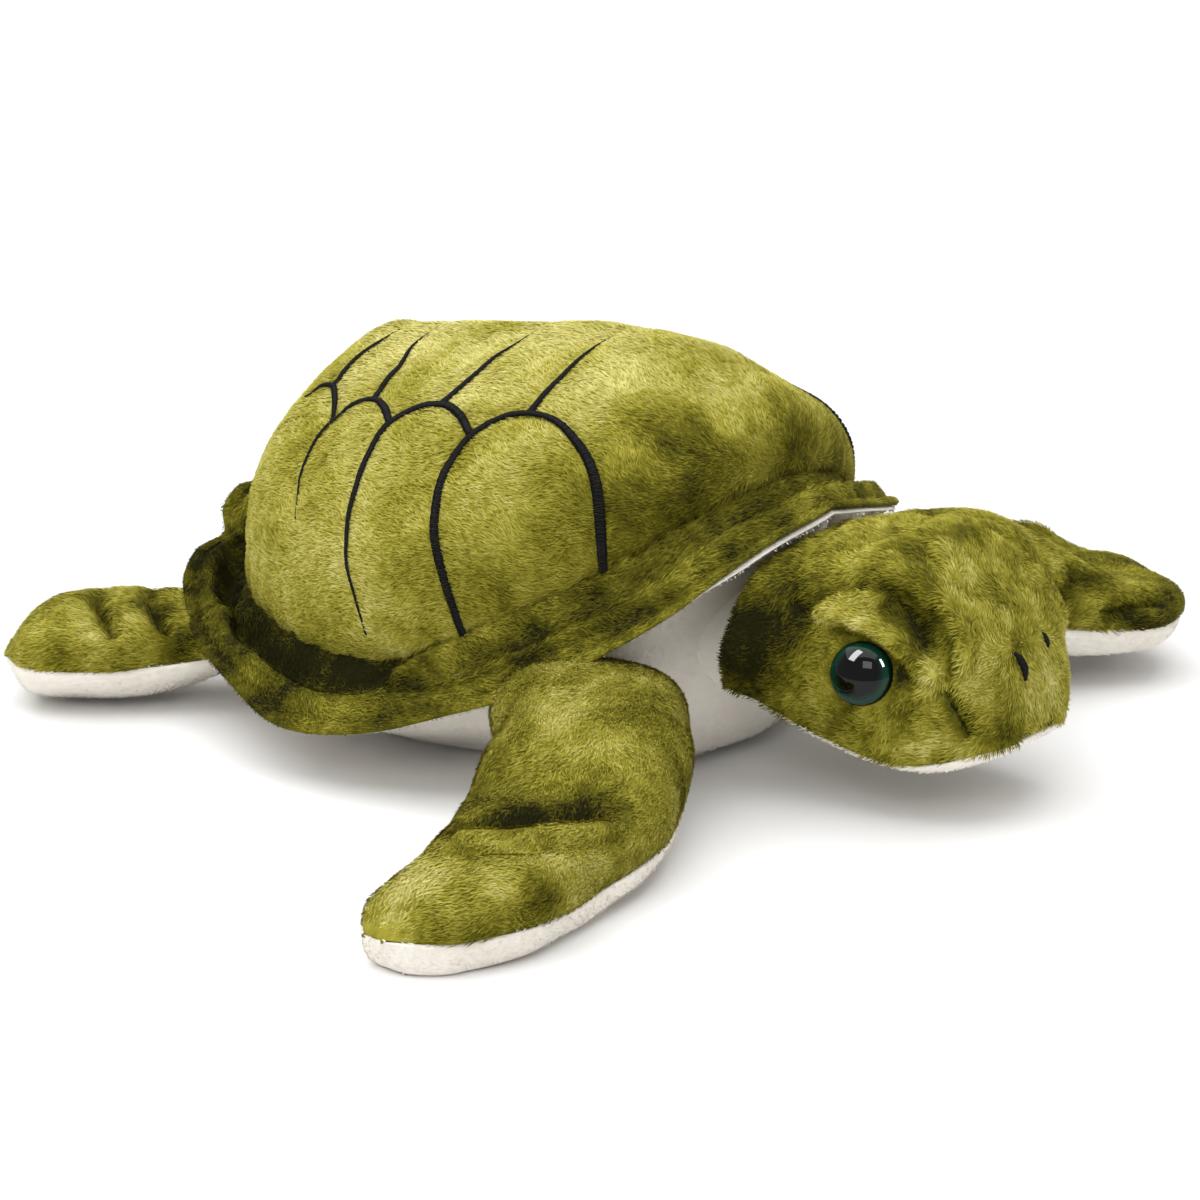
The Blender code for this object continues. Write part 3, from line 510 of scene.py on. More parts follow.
def nap_group():
    """How light the plush is at a place: wide patches where the nap was stroked another way, fine
    flecks, each strand's own tone, the roots of the pile painted darker as shade deep in the pile,
    and the painted shade and painted light that the shade attribute carries."""
    tree = bpy.data.node_groups.new("nap_tone", "ShaderNodeTree")
    sockets(tree, "INPUT", [
        ("Place", "Vector", None), ("Shade", "Float", 0.0), ("Tip", "Float", 0.5), ("Strand", "Float", 0.5),
        ("Patch size", "Float", 0.03), ("Patch depth", "Float", 0.3), ("Fleck size", "Float", 0.005),
        ("Fleck depth", "Float", 0.2), ("Tip gain", "Float", 0.4), ("Strand spread", "Float", 0.25),
        ("Level", "Float", 0.5),
    ])
    sockets(tree, "OUTPUT", [("Tone", "Float", None), ("Height", "Float", None)])
    given = new_node(tree, "NodeGroupInput").outputs

    def noise(size, detail, depth):
        scale = math_node(tree, "DIVIDE", 1.0, size)
        made = new_node(tree, "ShaderNodeTexNoise")
        feed(tree, made, Vector=given["Place"], Scale=scale, Detail=detail, Roughness=0.55)
        centred = math_node(tree, "SUBTRACT", made.outputs["Fac"], 0.5)
        return math_node(tree, "MULTIPLY", math_node(tree, "MULTIPLY", centred, 3.0), depth)

    tone = math_node(tree, "ADD", given["Level"], noise(given["Patch size"], 2.0, given["Patch depth"]))
    fleck = noise(given["Fleck size"], 2.0, given["Fleck depth"])
    tone = math_node(tree, "ADD", tone, fleck)
    tone = math_node(tree, "SUBTRACT", tone, given["Shade"])
    for value, gain in (("Tip", "Tip gain"), ("Strand", "Strand spread")):
        centred = math_node(tree, "SUBTRACT", given[value], 0.5)
        tone = math_node(tree, "ADD", tone, math_node(tree, "MULTIPLY", centred, given[gain]))
    out = new_node(tree, "NodeGroupOutput")
    feed(tree, out, Tone=math_node(tree, "MAXIMUM", math_node(tree, "MINIMUM", tone, 1.0), 0.0), Height=fleck)
    return tree


NAP = nap_group()


def new_finish(name, **values):
    made = bpy.data.materials.new(name)
    made.use_nodes = True
    shader = made.node_tree.nodes["Principled BSDF"]
    for key, value in values.items():
        shader.inputs[key.replace("_", " ")].default_value = value
    return made, made.node_tree, shader


def attribute(tree, name):
    return new_node(tree, "ShaderNodeAttribute", attribute_name=name)


def plush(name, ramp, patch, fleck, level=0.5, tip_gain=0.45, spread=0.28, sheen=0.05):
    made, tree, shader = new_finish(
        name, Roughness=0.9, Sheen_Weight=sheen, Sheen_Roughness=0.45, Sheen_Tint=(*ramp[-1][1], 1.0),
        Specular_IOR_Level=0.06,
    )
    tone = new_node(tree, "ShaderNodeGroup", node_tree=NAP)
    feed(
        tree, tone, Place=new_node(tree, "ShaderNodeTexCoord").outputs["Object"],
        Shade=attribute(tree, "shade").outputs["Fac"], Tip=attribute(tree, "tip").outputs["Fac"],
        Strand=attribute(tree, "strand").outputs["Fac"], Patch_size=patch[0], Patch_depth=patch[1],
        Fleck_size=fleck[0], Fleck_depth=fleck[1], Tip_gain=tip_gain, Strand_spread=spread, Level=level,
    )
    colours = new_node(tree, "ShaderNodeValToRGB")
    while len(colours.color_ramp.elements) < len(ramp):
        colours.color_ramp.elements.new(0.5)
    for stop, (place, colour) in zip(colours.color_ramp.elements, ramp):
        stop.position = place
        stop.color = (*colour, 1.0)
    wire(tree, tone.outputs["Tone"], colours.inputs["Fac"])
    wire(tree, colours.outputs["Color"], shader.inputs["Base Color"])
    bump = feed(tree, new_node(tree, "ShaderNodeBump"), Strength=0.25, Distance=0.0005, Height=tone.outputs["Height"])
    wire(tree, bump.outputs["Normal"], shader.inputs["Normal"])
    return made


GREENS = ((0.0, DEEP_GREEN), (0.34, MOSS_GREEN), (0.64, LEAF_GREEN), (1.0, PALE_GREEN))
WHITES = ((0.0, SOFT_WHITE), (0.6, WARM_WHITE), (1.0, srgb(250, 246, 238)))


def coat(name, tree_maker=None, **values):
    made, tree, shader = new_finish(name, **values)
    if tree_maker:
        tree_maker(tree, shader)
    return made


def grain(size, depth, distance, low, high):
    """Fine uneven roughness and bump of thread or moulded plastic."""
    def make(tree, shader):
        place = new_node(tree, "ShaderNodeTexCoord").outputs["Object"]
        noise = feed(tree, new_node(tree, "ShaderNodeTexNoise"), Vector=place, Scale=1 / size, Detail=3.0)
        rough = feed(tree, new_node(tree, "ShaderNodeMapRange"), Value=noise.outputs["Fac"], To_Min=low, To_Max=high)
        wire(tree, rough.outputs[0], shader.inputs["Roughness"])
        bump = feed(tree, new_node(tree, "ShaderNodeBump"), Strength=depth, Distance=distance, Height=noise.outputs["Fac"])
        wire(tree, bump.outputs["Normal"], shader.inputs["Normal"])
    return make


def iris_colours(tree, shader):
    """A black pupil inside a dark green ring, painted by the distance from the eye's middle."""
    ramp = new_node(tree, "ShaderNodeValToRGB")
    wire(tree, attribute(tree, "reach").outputs["Fac"], ramp.inputs["Fac"])
    stops = ((0.0, (0.001, 0.001, 0.001)), (0.62, (0.001, 0.001, 0.001)), (0.72, (0.0, 0.010, 0.006)),
             (0.86, (0.0, 0.036, 0.018)), (0.97, (0.0, 0.004, 0.003)))
    while len(ramp.color_ramp.elements) < len(stops):
        ramp.color_ramp.elements.new(0.5)
    for stop, (place, colour) in zip(ramp.color_ramp.elements, stops):
        stop.position = place
        stop.color = (*colour, 1.0)
    wire(tree, ramp.outputs["Color"], shader.inputs["Base Color"])


shell_plush = plush("shell_plush", GREENS, (26 * MM, 0.16), (3.5 * MM, 0.14), level=0.62, tip_gain=0.34, spread=0.18)
green_plush = plush("green_plush", GREENS, (22 * MM, 0.26), (3.5 * MM, 0.14), level=0.56, tip_gain=0.34, spread=0.18)
white_plush = plush("white_plush", WHITES, (30 * MM, 0.20), (3 * MM, 0.15), level=0.7, tip_gain=0.3, spread=0.2, sheen=0.15)
thread = coat("black_thread", grain(0.8 * MM, 0.3, 0.0001, 0.5, 0.7), Base_Color=(0.002, 0.002, 0.002, 1), Specular_IOR_Level=0.10)
eye_gloss = coat("eye_gloss", iris_colours, Roughness=0.03, Specular_IOR_Level=0.26)
eye_black = coat("eye_black", grain(1.5 * MM, 0.1, 0.00005, 0.18, 0.3), Base_Color=(0.004, 0.004, 0.004, 1))
nylon = coat("washer_nylon", grain(1.2 * MM, 0.2, 0.00008, 0.4, 0.55), Base_Color=(0.72, 0.72, 0.69, 1))
bag_cloth = plush("bag_cloth", ((0.0, srgb(190, 184, 170)), (1.0, srgb(226, 220, 206))), (14 * MM, 0.2), (1 * MM, 0.4))

PILE_LIFT = 0.30            # radians
STRAND = strand_object()
PILE = pile_tree(STRAND)


def green_cloth(skin, name, lie, body, seed, nodes, finish=green_plush, wander=0.4, bands=1):
    """A plush panel: its skin and the pile on it."""
    cloth = sew(skin, name, finish, lie, wander)
    pile = grow(cloth, name + "_pile", finish, GREEN_STRANDS, GREEN_PILE, PILE_LIFT, 0.45, seed, bands=bands)
    return dress(cloth, pile, body, nodes)


def white_cloth(skin, name, lie, body, seed, nodes):
    cloth = sew(skin, name, white_plush, lie, 0.6)
    pile = grow(cloth, name + "_pile", white_plush, WHITE_STRANDS, WHITE_PILE, 0.5, 0.9, seed, 0.4 * MM)
    return dress(cloth, pile, body, nodes)


def dress(cloth, pile, body, nodes):
    for piece in (cloth, *pile):
        if callable(body):
            body(piece)
        else:
            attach(piece, body)
    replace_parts(cloth, *nodes)
    return cloth


# Shell and belly

shell_low, shell_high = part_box("carapace_cover")
HALF_WIDTH = shell_high.x
HALF_LENGTH = shell_high.y
SEAM_SIDE = 38 * MM
SEAM_FRONT_RISE = 60 * MM
SEAM_REAR_RISE = 10 * MM
FRONT_CURVE = 1.6
# (distance from the middle of the cloth, share of the half width, share of the height over the seam)
SHELL_PROFILE = (
    (0.00, 0.00, 1.00), (0.20, 0.37, 0.998), (0.34, 0.62, 0.985), (0.47, 0.80, 0.88), (0.60, 0.93, 0.74),
    (0.72, 1.00, 0.565), (0.86, 1.03, 0.25), (0.96, 1.02, 0.06), (1.00, 1.00, 0.00),
)
# The shell's crest from the front to the rear, and how the top falls away to each side of it, in mm
CREST = ((-107, 133.5), (-80, 136.5), (-45, 141.0), (0, 137.0), (45, 131.0), (80, 126.0), (107, 104.0))
CREST_FALL = 20.0
CREST_FALL_AT = 60.0
CREST_ROUNDING = 1.45
REAR_SHORTENING = 0.945
BELLY_PROFILE = (
    (0.00, 0.00, 0.00), (0.55, 0.72, 0.00), (0.68, 0.90, 0.07), (0.78, 0.97, 0.25), (0.90, 1.00, 0.60),
    (1.00, 1.00, 1.00),
)
BELLY_TUCK = 0.24


def seam_height(angle):
    front = SEAM_FRONT_RISE * np.maximum(0, -np.sin(angle)) ** FRONT_CURVE
    return SEAM_SIDE + front + SEAM_REAR_RISE * np.maximum(0, np.sin(angle)) ** 2


def disc(count):
    """A square of points laid onto a disc: each point's distance from the middle, and its bearing."""
    steps = np.linspace(-1, 1, count)
    a, b = np.meshgrid(steps, steps, indexing="ij")
    x = a * np.sqrt(1 - b * b / 2)
    y = b * np.sqrt(1 - a * a / 2)
    return np.hypot(x, y), np.arctan2(y, x)


def rounded(profile, inset, count):
    """Places of a cloth that is round in plan, the share of its height, and the height of its seam."""
    reach, angle = disc(count)
    across, up = curve(profile, reach)
    x = (HALF_WIDTH - inset) * across * np.cos(angle)
    y = (HALF_LENGTH - inset) * across * np.sin(angle)
    return x, y, up, seam_height(angle), angle


def outward(turn, elevation, side):
    a, e = math.radians(turn), math.radians(elevation)
    return Vector((side * math.cos(a) * math.cos(e), math.sin(a) * math.cos(e), math.sin(e)))


SHELL_MIDDLE = Vector((0.0, 0.0, SEAM_SIDE))
RIGHT = -1
LEFT = 1
SIDES = ((RIGHT, "right"), (LEFT, "left"))
# The satin stitches round the scutes of the right flank, as pixels of the photograph. The left flank's
# are their mirror images.
SCUTES = (
    ((466, 637), (452, 605), (440, 565), (434, 527), (437, 498), (448, 466), (470, 436), (497, 419), (529, 413),
     (556, 421), (575, 440), (588, 460), (595, 480), (600, 520), (602, 568)),
    ((367, 634), (355, 600), (346, 561), (348, 518), (355, 490), (367, 457), (389, 423), (413, 409), (441, 404),
     (458, 413), (470, 434)),
    ((296, 533), (294, 513), (301, 471), (312, 446), (329, 424), (350, 406), (374, 399), (384, 407), (389, 422)),
    ((306, 398), (318, 388), (333, 386), (335, 400), (330, 422)),
)
LEFT_SCUTE_TURN = math.radians(3.5)
RIDGES = (
    ((529, 413), (548, 390), (575, 363), (609, 336)),
    ((441, 404), (463, 385), (495, 357), (528, 334)),
    ((374, 399), (384, 384), (396, 370), (408, 352)),
    ((333, 386), (347, 368), (364, 352), (384, 338)),
)


# Patches on the shell: darker patches of nap, painted shade in the puckers by the seam, and painted light on slopes
# that face up: (pixel across, pixel down, radius in mm, shade)
SHELL_PATCHES = (
    (540, 540, 12, 0.12), (575, 520, 9, 0.10), (560, 470, 8, 0.10), (650, 390, 9, -0.02), (700, 480, 13, 0.08),
    (665, 455, 16, 0.08), (628, 485, 12, 0.10), (690, 360, 9, 0.04), (730, 380, 9, -0.12), (775, 400, 9, -0.12),
    (700, 440, 12, 0.10), (750, 440, 9, -0.04), (790, 450, 10, 0.14), (830, 470, 12, 0.20), (865, 490, 10, 0.20),
    (640, 540, 14, 0.18), (690, 520, 12, 0.16), (405, 630, 3, 0.20), (420, 628, 3, 0.18), (436, 634, 3, 0.16),
    (388, 622, 3, 0.16), (500, 600, 9, 0.08), (330, 600, 8, 0.08), (280, 540, 9, 0.10),
)


def smooth_knots(knots, spacing):
    """Points on a smooth line through some knots, about evenly spaced."""
    knots = np.array([tuple(k) for k in knots])
    steps = np.concatenate([[0], np.cumsum(np.linalg.norm(np.diff(knots, axis=0), axis=1))])
    fine = np.stack(curve(np.column_stack([steps, knots]), np.linspace(0, steps[-1], 400)), axis=-1)
    run = np.concatenate([[0], np.cumsum(np.linalg.norm(np.diff(fine, axis=0), axis=1))])
    count = max(2, round(run[-1] / spacing))
    even = np.linspace(0, run[-1], count)
    return np.stack([np.interp(even, run, fine[:, k]) for k in range(3)], axis=-1)


def make_shell():
    x, y, up, seam, angle = rounded(SHELL_PROFILE, PILE_ROOM, 150)
    y = np.where(y > 0, y * REAR_SHORTENING, y)
    top = curve(CREST, y / MM)[0] - CREST_FALL * (np.abs(x) / MM / CREST_FALL_AT) ** CREST_ROUNDING
    skin = Skin(np.stack([x, y, seam + (top * MM - PILE_ROOM - seam) * up], axis=-1), (0, 0, 1))
    skin.ruffle(0.7 * MM, 45 * MM, 11)
    skin.ruffle(0.25 * MM, 16 * MM, 12)
    skin.swell((72 * MM, -70 * MM, 86 * MM), 26 * MM, 8 * MM)
    # the cloth puckers where it is sewn to the brim
    above = skin.points[..., 2] - seam
    skin.push(0.5 * MM * np.sin(angle * 46 + 2 * np.sin(angle * 5)) * np.exp(-above / (11 * MM)))
    surface = skin.surface()
    lines = {}
    for number, pixels in enumerate(SCUTES, 1):
        line = seen(surface, pixels)
        lines["scute_right_%d" % number] = smooth_knots(line, 4 * MM)
        line = [Vector(p) for p in mirrored(line)]
        for point in line:
            point.rotate(Euler((0, 0, LEFT_SCUTE_TURN)))
        lines["scute_left_%d" % number] = smooth_knots(line, 4 * MM)
    for number, pixels in enumerate(RIDGES, 1):
        half = seen(surface, pixels)
        lines["ridge_%d" % number] = smooth_knots(half + mirrored(half)[::-1], 4 * MM)
    for path in lines.values():
        skin.press(path, 1.1 * MM, 4 * MM, 0.05)
    front = smoothstep(-40 * MM, -66 * MM, skin.points[..., 1] + 0.15 * skin.points[..., 2])
    # the front of the shell darker, where its nap lies another way; and painted light: the top lighter, as if lit from
    # above
    skin.shade += 0.14 * front - 0.16 * smoothstep(100 * MM, 128 * MM, skin.points[..., 2])
    skin.stroke(SHELL_PATCHES)
    skin.mottle(0.15, 30 * MM, 15, front)
    skin.mottle(0.09, 12 * MM, 16, front)
    skin.mottle(0.10, 26 * MM, 17, 1 - front)
    green_cloth(skin, "shell", (0, 1, 0), "root", 21, ["carapace_cover", "body_stuffing"], shell_plush, 0.35,
                3)
    return skin.surface(), lines


def make_belly():
    x, y, up, seam, angle = rounded(BELLY_PROFILE, 2.2 * MM, 110)
    reach = np.hypot(x / HALF_WIDTH, y / HALF_LENGTH)
    flank = smoothstep(0.80, 0.35, np.abs(np.sin(angle)))
    up = up + flank * BELLY_TUCK * smoothstep(0.56, 0.90, reach) * smoothstep(1.0, 0.25, up)
    y = np.where(y > 0, y * REAR_SHORTENING, y)
    skin = Skin(np.stack([x, y, (seam - 2 * MM) * up], axis=-1), (0, 0, -1))
    skin.ruffle(0.6 * MM, 40 * MM, 13)
    skin.stand_on_floor()
    skin.cover = smoothstep(2 * MM, 3.6 * MM, skin.points[..., 2]) * smoothstep(0.97, 0.90, up)
    white_cloth(skin, "belly", (0, 0, -1), "root", 22, ["belly_cover"])


# Brim

# Places of the brim's edge: bearing in degrees from the side (-90 is the head), how far it stands out
# from the shell's seam, and its height, in mm
BRIM_EDGE = (
    (-90, 18.0, 91.0), (-76, 19.5, 86.0), (-62, 22.0, 74.0), (-48, 24.0, 57.0), (-34, 24.0, 42.0), (-22, 25.0, 33.0),
    (-8, 26.7, 22.9), (8, 26.4, 18.7), (22, 23.2, 24.0), (36, 22.5, 31.5), (48, 23.0, 35.4), (57, 25.4, 42.5),
    (64, 24.2, 46.9), (70, 23.4, 46.8), (75, 21.5, 48.0), (80, 27.4, 55.0), (85, 28.4, 61.5), (90, 29.0, 62.5),
)
# Folds on the brim, with painted shade in their grooves and painted light on their ridges, and patches of nap, painted
# shade and painted light, as pixels of the photograph
BRIM_FOLDS = (
    (((372, 700), (400, 674), (430, 657), (466, 641), (500, 627), (540, 609), (590, 585), (640, 558)), -3.0, 3.2, 0.05, -0.16),
    (((360, 692), (388, 668), (420, 650), (456, 634), (490, 620), (530, 602), (580, 578)), 2.4, 2.4, 0.10, 0.26),
    (((400, 694), (430, 688), (460, 680), (500, 668), (540, 654), (590, 633), (640, 611), (690, 588)), 2.2, 2.8, 0.08, 0.22),
    (((212, 616), (238, 612), (262, 616), (300, 611), (330, 618)), -2.0, 3.5, 0.2, -0.12),
)
BRIM_PATCHES = (
    (225, 570, 6, 0.20), (240, 595, 6, 0.28), (272, 598, 6, 0.26), (305, 604, 6, 0.20), (240, 545, 6, 0.06),
    (235, 505, 8, -0.14), (250, 520, 6, -0.06), (195, 575, 7, -0.10), (205, 620, 6, -0.08), (238, 628, 6, -0.16),
    (262, 634, 7, -0.20), (292, 626, 5, -0.16), (352, 628, 5, -0.10), (385, 636, 4, -0.14), (440, 662, 4, -0.10),
    (510, 640, 4, -0.10), (570, 612, 5, -0.10), (620, 592, 5, -0.10), (250, 660, 5, -0.10), (300, 655, 5, 0.14), (350, 665, 8, 0.14),
    (378, 672, 7, 0.18), (420, 655, 5, 0.14), (335, 640, 6, -0.04), (360, 715, 8, -0.04), (450, 695, 8, -0.10),
    (398, 652, 4, 0.16), (418, 647, 4, 0.20), (440, 641, 3, 0.20), (540, 635, 7, 0.10), (600, 610, 7, 0.06), (660, 600, 8, -0.16), (700, 560, 8, -0.14), (560, 655, 7, -0.10),
    (480, 655, 6, 0.12), (520, 645, 6, 0.10), (760, 540, 9, -0.16), (800, 510, 9, -0.14), (840, 520, 8, -0.10),
)
FAR_LOBE = 17.0             # on the left the brim stands up beside the neck, so much higher
BRIM_COLUMNS = 420
BRIM_ROWS = 30


def brim_places():
    """Rings of points from inside the shell's seam to the brim's edge."""
    angle = np.linspace(0, 2 * math.pi, BRIM_COLUMNS, endpoint=False)
    turn = np.degrees(np.arcsin(np.sin(angle)))
    reach, height = curve(BRIM_EDGE, turn)
    rear = smoothstep(-0.3, 0.6, np.sin(angle))
    lobe = np.exp(-((turn + 46) / 15) ** 2) * (np.cos(angle) > 0)
    height = height + 2.0 * np.sin(angle * 7 + 0.6) * rear + FAR_LOBE * lobe
    share = np.linspace(-0.16, 1.0, BRIM_ROWS)[:, None]
    out = reach * MM * share
    # next to the shell the cloth dips; then it rises to a soft ridge and falls to the edge
    valley = -(4 + 4 * rear) * MM * np.exp(-((share - 0.32) / 0.17) ** 2)
    ridge = 3.0 * MM * np.exp(-((share - 0.62) / 0.15) ** 2)
    z = seam_height(angle) * (1 - share) + height * MM * share + valley + ridge
    x = (HALF_WIDTH + out) * np.cos(angle)
    y = (HALF_LENGTH * np.where(np.sin(angle) > 0, REAR_SHORTENING, 1.0) + out) * np.sin(angle)
    return np.stack([x, y, z], axis=-1), turn, share


BRIM_LINING_GAP = 2.4 * MM
LINING_ROOM = 2.8 * MM
LINING_SHOWS = 1.6          # in mm: how far the lining stands out past the green cloth beside the neck
LINING_HIDES = 1.2


def make_brim():
    points, turn, share = brim_places()
    upper = Skin(points, (0, 0, 1), True)
    upper.ruffle(0.8 * MM, 34 * MM, 14)
    rear = smoothstep(-25, 25, turn)
    folds = ripple(upper.points, 26 * MM, 19)
    upper.push(2.0 * MM * rear * folds * np.exp(-((share - 0.45) / 0.25) ** 2))
    surface = upper.surface()
    folds = [(seen(surface, path), rest) for path, *rest in BRIM_FOLDS]
    for line in (lambda path: path, mirrored):
        for path, (depth, width, fade, shade) in folds:
            upper.press(line(path), depth * MM, width * MM, fade, shade)
    # the lining follows the green cloth at the edge, and hangs free of its small folds further in
    loose = Skin(np.mean([np.roll(upper.points, k, 1) for k in range(-7, 8)], axis=0), (0, 0, 1), True)
    inside = smoothstep(0.97, 0.75, share)[..., None]
    base = upper.points * (1 - inside) + loose.points * inside
    facing = loose.normals()
    lining = Skin((base - facing * (BRIM_LINING_GAP + 2.4 * MM * inside))[5:], (0, 0, -1), True)
    lining.pile *= 0.4 + 0.6 * smoothstep(0.70, 0.92, share[5:])
    green = upper.surface()
    folded = np.broadcast_to(smoothstep(-60, -40, turn), lining.points[:-3].shape[:2]).ravel()
    for place, way, share_folded in zip(lining.points[:-3].reshape(-1, 3), facing[5:-3].reshape(-1, 3), folded):
        nearest = np.array(green.find_nearest(Vector(place))[0])
        place -= way * (share_folded * max(0.0, LINING_ROOM - (nearest - place) @ way))
    front = smoothstep(-56, -70, turn)[:, None]
    outward = upper.points[-1] - upper.points[-2]
    outward /= np.linalg.norm(outward, axis=1, keepdims=True)
    for row, part in ((-1, 1.0), (-2, 0.6), (-3, 0.3)):
        lining.points[row] += outward * (-LINING_HIDES + (LINING_SHOWS + LINING_HIDES) * front) * part * MM
    # a fine groove inside the brim's edge, with painted shade in it
    upper.press(upper.points[-5], 0.8 * MM, 1.2 * MM, 0.0, 0.12)
    # the brim darker than the shell, partly its nap and partly painted shade, most in the recess beside the shell and
    # at the rear
    upper.shade += 0.16 + (0.14 + 0.14 * rear) * np.exp(-((share - 0.18) / 0.30) ** 2) + 0.16 * rear
    upper.stroke(BRIM_PATCHES, (RIGHT, LEFT))
    upper.mottle(0.12, 24 * MM, 18)
    upper.mottle(0.10, 9 * MM, 20)
    upper.pile *= 0.45 + 0.55 * smoothstep(1.0, 0.90, share)
    down, across = upper.ways()
    green_cloth(upper, "brim_top", down + 2.4 * across, "root", 23, ["brim_upper"])
    lining.thick *= 0.3
    white_cloth(lining, "brim_underside", lining.ways()[0], "root", 24, ["brim_lining"])
    return lining.surface()


# Limbs

class Limb:
    """A limb's frame: where its joint is, which way it points, and its bent middle line."""

    def __init__(self, joint, length, inset, turns, side):
        found = [j for j in frame["joints"] if j["name"] == joint][0]
        self.child = found["child"]
        self.pivot = np.array(found["pos_m"])
        self.forward = -np.array(found["axis"], float)
        self.out = np.cross(self.forward, (0, 0, 1.0))
        self.length = length
        self.inset = inset
        self.mirror = -side
        # the middle line: which way it points at each place along the limb, and where it has come to
        self.run = np.linspace(-0.2, 1.0, 241)
        self.turn = np.radians(curve(turns, self.run)[0])
        step = length * (self.run[1] - self.run[0])
        ahead = np.cumsum(np.cos(self.turn)) * step
        back = np.cumsum(np.sin(self.turn)) * step
        self.ahead = ahead - np.interp(0, self.run, ahead)
        self.back = back - np.interp(0, self.run, back)

    def place(self, along, off, height):
        """World points from places along the middle line, off it towards the head, and over the joint."""
        turned = np.interp(along, self.run, self.turn)
        x = np.interp(along, self.run, self.ahead) + np.sin(turned) * off - self.inset
        y = (np.cos(turned) * off - np.interp(along, self.run, self.back)) * self.mirror
        return self.pivot + x[..., None] * self.out + y[..., None] * self.forward + height[..., None] * np.array((0, 0, 1.0))

    def skin(self, stations, profile, upper, drop, rise, depth, rows, columns):
        steps = np.linspace(0, 1, rows)
        along = stations[0][0] + (0.5 * steps + 0.25 * (1 - np.cos(math.pi * steps))) * (stations[-1][0] - stations[0][0])
        fore, aft, sink, up, down = curve(stations, along)
        half = np.linspace(-1, 1, columns)
        edge, height_share, swell = curve(profile, 1 - np.abs(half))
        height = (up * rise if upper else down * depth)[:, None]
        width = (fore + aft)[:, None] * self.length / 2
        middle = (fore - aft)[:, None] * self.length / 2
        off = middle + np.sign(-half) * (width * edge + swell * height - PILE_ROOM * edge)
        z = -sink[:, None] * drop + (1 if upper else -1) * height * height_share
        z = z - (PILE_ROOM * height_share if upper else -PILE_ROOM * 0.6 * height_share)
        points = self.place(np.broadcast_to(along[:, None], off.shape), off, z)
        skin = Skin(points, (0, 0, 1 if upper else -1))
        skin.thick *= 0.1 + 0.9 * smoothstep(1.0, 0.95, steps)[:, None]
        return skin

    def bending(self):
        """Gives what is done to each piece of the limb: its placement is baked into its mesh."""
        return lambda piece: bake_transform(piece)


# (distance from the seam: 0 to 1 at the middle; share of the half width; of the height; swell past the seam)
ROUND_TOP = (
    (0.00, 1.00, 0.00, 0.00), (0.08, 0.998, 0.24, 0.05), (0.18, 0.96, 0.50, 0.06), (0.32, 0.85, 0.75, 0.03),
    (0.50, 0.64, 0.91, 0.0), (0.75, 0.32, 0.985, 0.0), (1.00, 0.00, 1.00, 0.0),
)
FULL_UNDER = (
    (0.00, 1.00, 0.00, 0.00), (0.08, 0.99, 0.20, 0.03), (0.18, 0.95, 0.43, 0.04), (0.30, 0.88, 0.68, 0.03),
    (0.45, 0.73, 0.89, 0.01), (0.70, 0.40, 1.00, 0.0), (1.00, 0.00, 1.00, 0.0),
)
ROUND_UNDER = (
    (0.00, 1.00, 0.00, 0.00), (0.06, 0.985, 0.16, 0.02), (0.15, 0.93, 0.34, 0.02), (0.28, 0.81, 0.55, 0.0),
    (0.45, 0.62, 0.75, 0.0), (0.70, 0.33, 0.93, 0.0), (1.00, 0.00, 1.00, 0.0),
)
# (along the limb; forward and rear edge as shares of the length; shares of the drop, rise and depth)
FRONT_STATIONS = (
    (-0.04, 0.11, 0.11, 0.00, 0.25, 0.40), (0.00, 0.120, 0.125, 0.00, 0.50, 0.60), (0.08, 0.155, 0.155, 0.06, 0.78, 0.90),
    (0.28, 0.204, 0.120, 0.50, 1.04, 1.00), (0.42, 0.220, 0.128, 0.78, 0.94, 1.00), (0.52, 0.220, 0.121, 0.90, 0.66, 1.00),
    (0.66, 0.205, 0.090, 1.00, 0.70, 1.00), (0.82, 0.200, 0.045, 1.00, 0.62, 1.00), (0.90, 0.172, 0.034, 1.00, 0.50, 1.00),
    (0.95, 0.140, 0.032, 1.00, 0.36, 0.95), (0.985, 0.090, 0.010, 1.00, 0.16, 0.62), (1.00, 0.060, -0.01, 1.00, 0.03, 0.05),
)
# the left flipper is bent sharply at its elbow, so that its blade points backward
LEFT_STATIONS = (
    (-0.04, 0.11, 0.11, 0.00, 0.25, 0.40), (0.00, 0.125, 0.125, 0.00, 0.54, 0.60), (0.08, 0.175, 0.155, 0.06, 0.92, 0.90),
    (0.28, 0.200, 0.120, 0.50, 1.31, 1.00), (0.42, 0.197, 0.130, 0.78, 1.02, 1.00), (0.52, 0.280, 0.124, 0.90, 0.53, 1.00),
    (0.66, 0.180, 0.092, 1.00, 0.43, 1.00), (0.82, 0.190, 0.045, 1.00, 0.14, 1.00), (0.90, 0.160, 0.034, 1.00, 0.22, 1.00),
    (0.95, 0.125, 0.032, 1.00, 0.36, 0.95), (0.985, 0.085, 0.010, 1.00, 0.18, 0.62), (1.00, 0.050, -0.01, 1.00, 0.03, 0.05),
)
REAR_STATIONS = (
    (-0.08, 0.15, 0.15, 0.00, 0.20, 0.30), (0.00, 0.17, 0.17, 0.00, 0.40, 0.50), (0.12, 0.25, 0.24, 0.15, 0.64, 0.70),
    (0.30, 0.31, 0.30, 0.50, 0.84, 0.95), (0.50, 0.345, 0.335, 0.85, 0.90, 1.00), (0.70, 0.35, 0.34, 1.00, 0.93, 1.00),
    (0.84, 0.325, 0.31, 1.00, 0.76, 0.98), (0.93, 0.265, 0.25, 1.00, 0.46, 0.80), (1.00, 0.13, 0.12, 1.00, 0.06, 0.10),
)
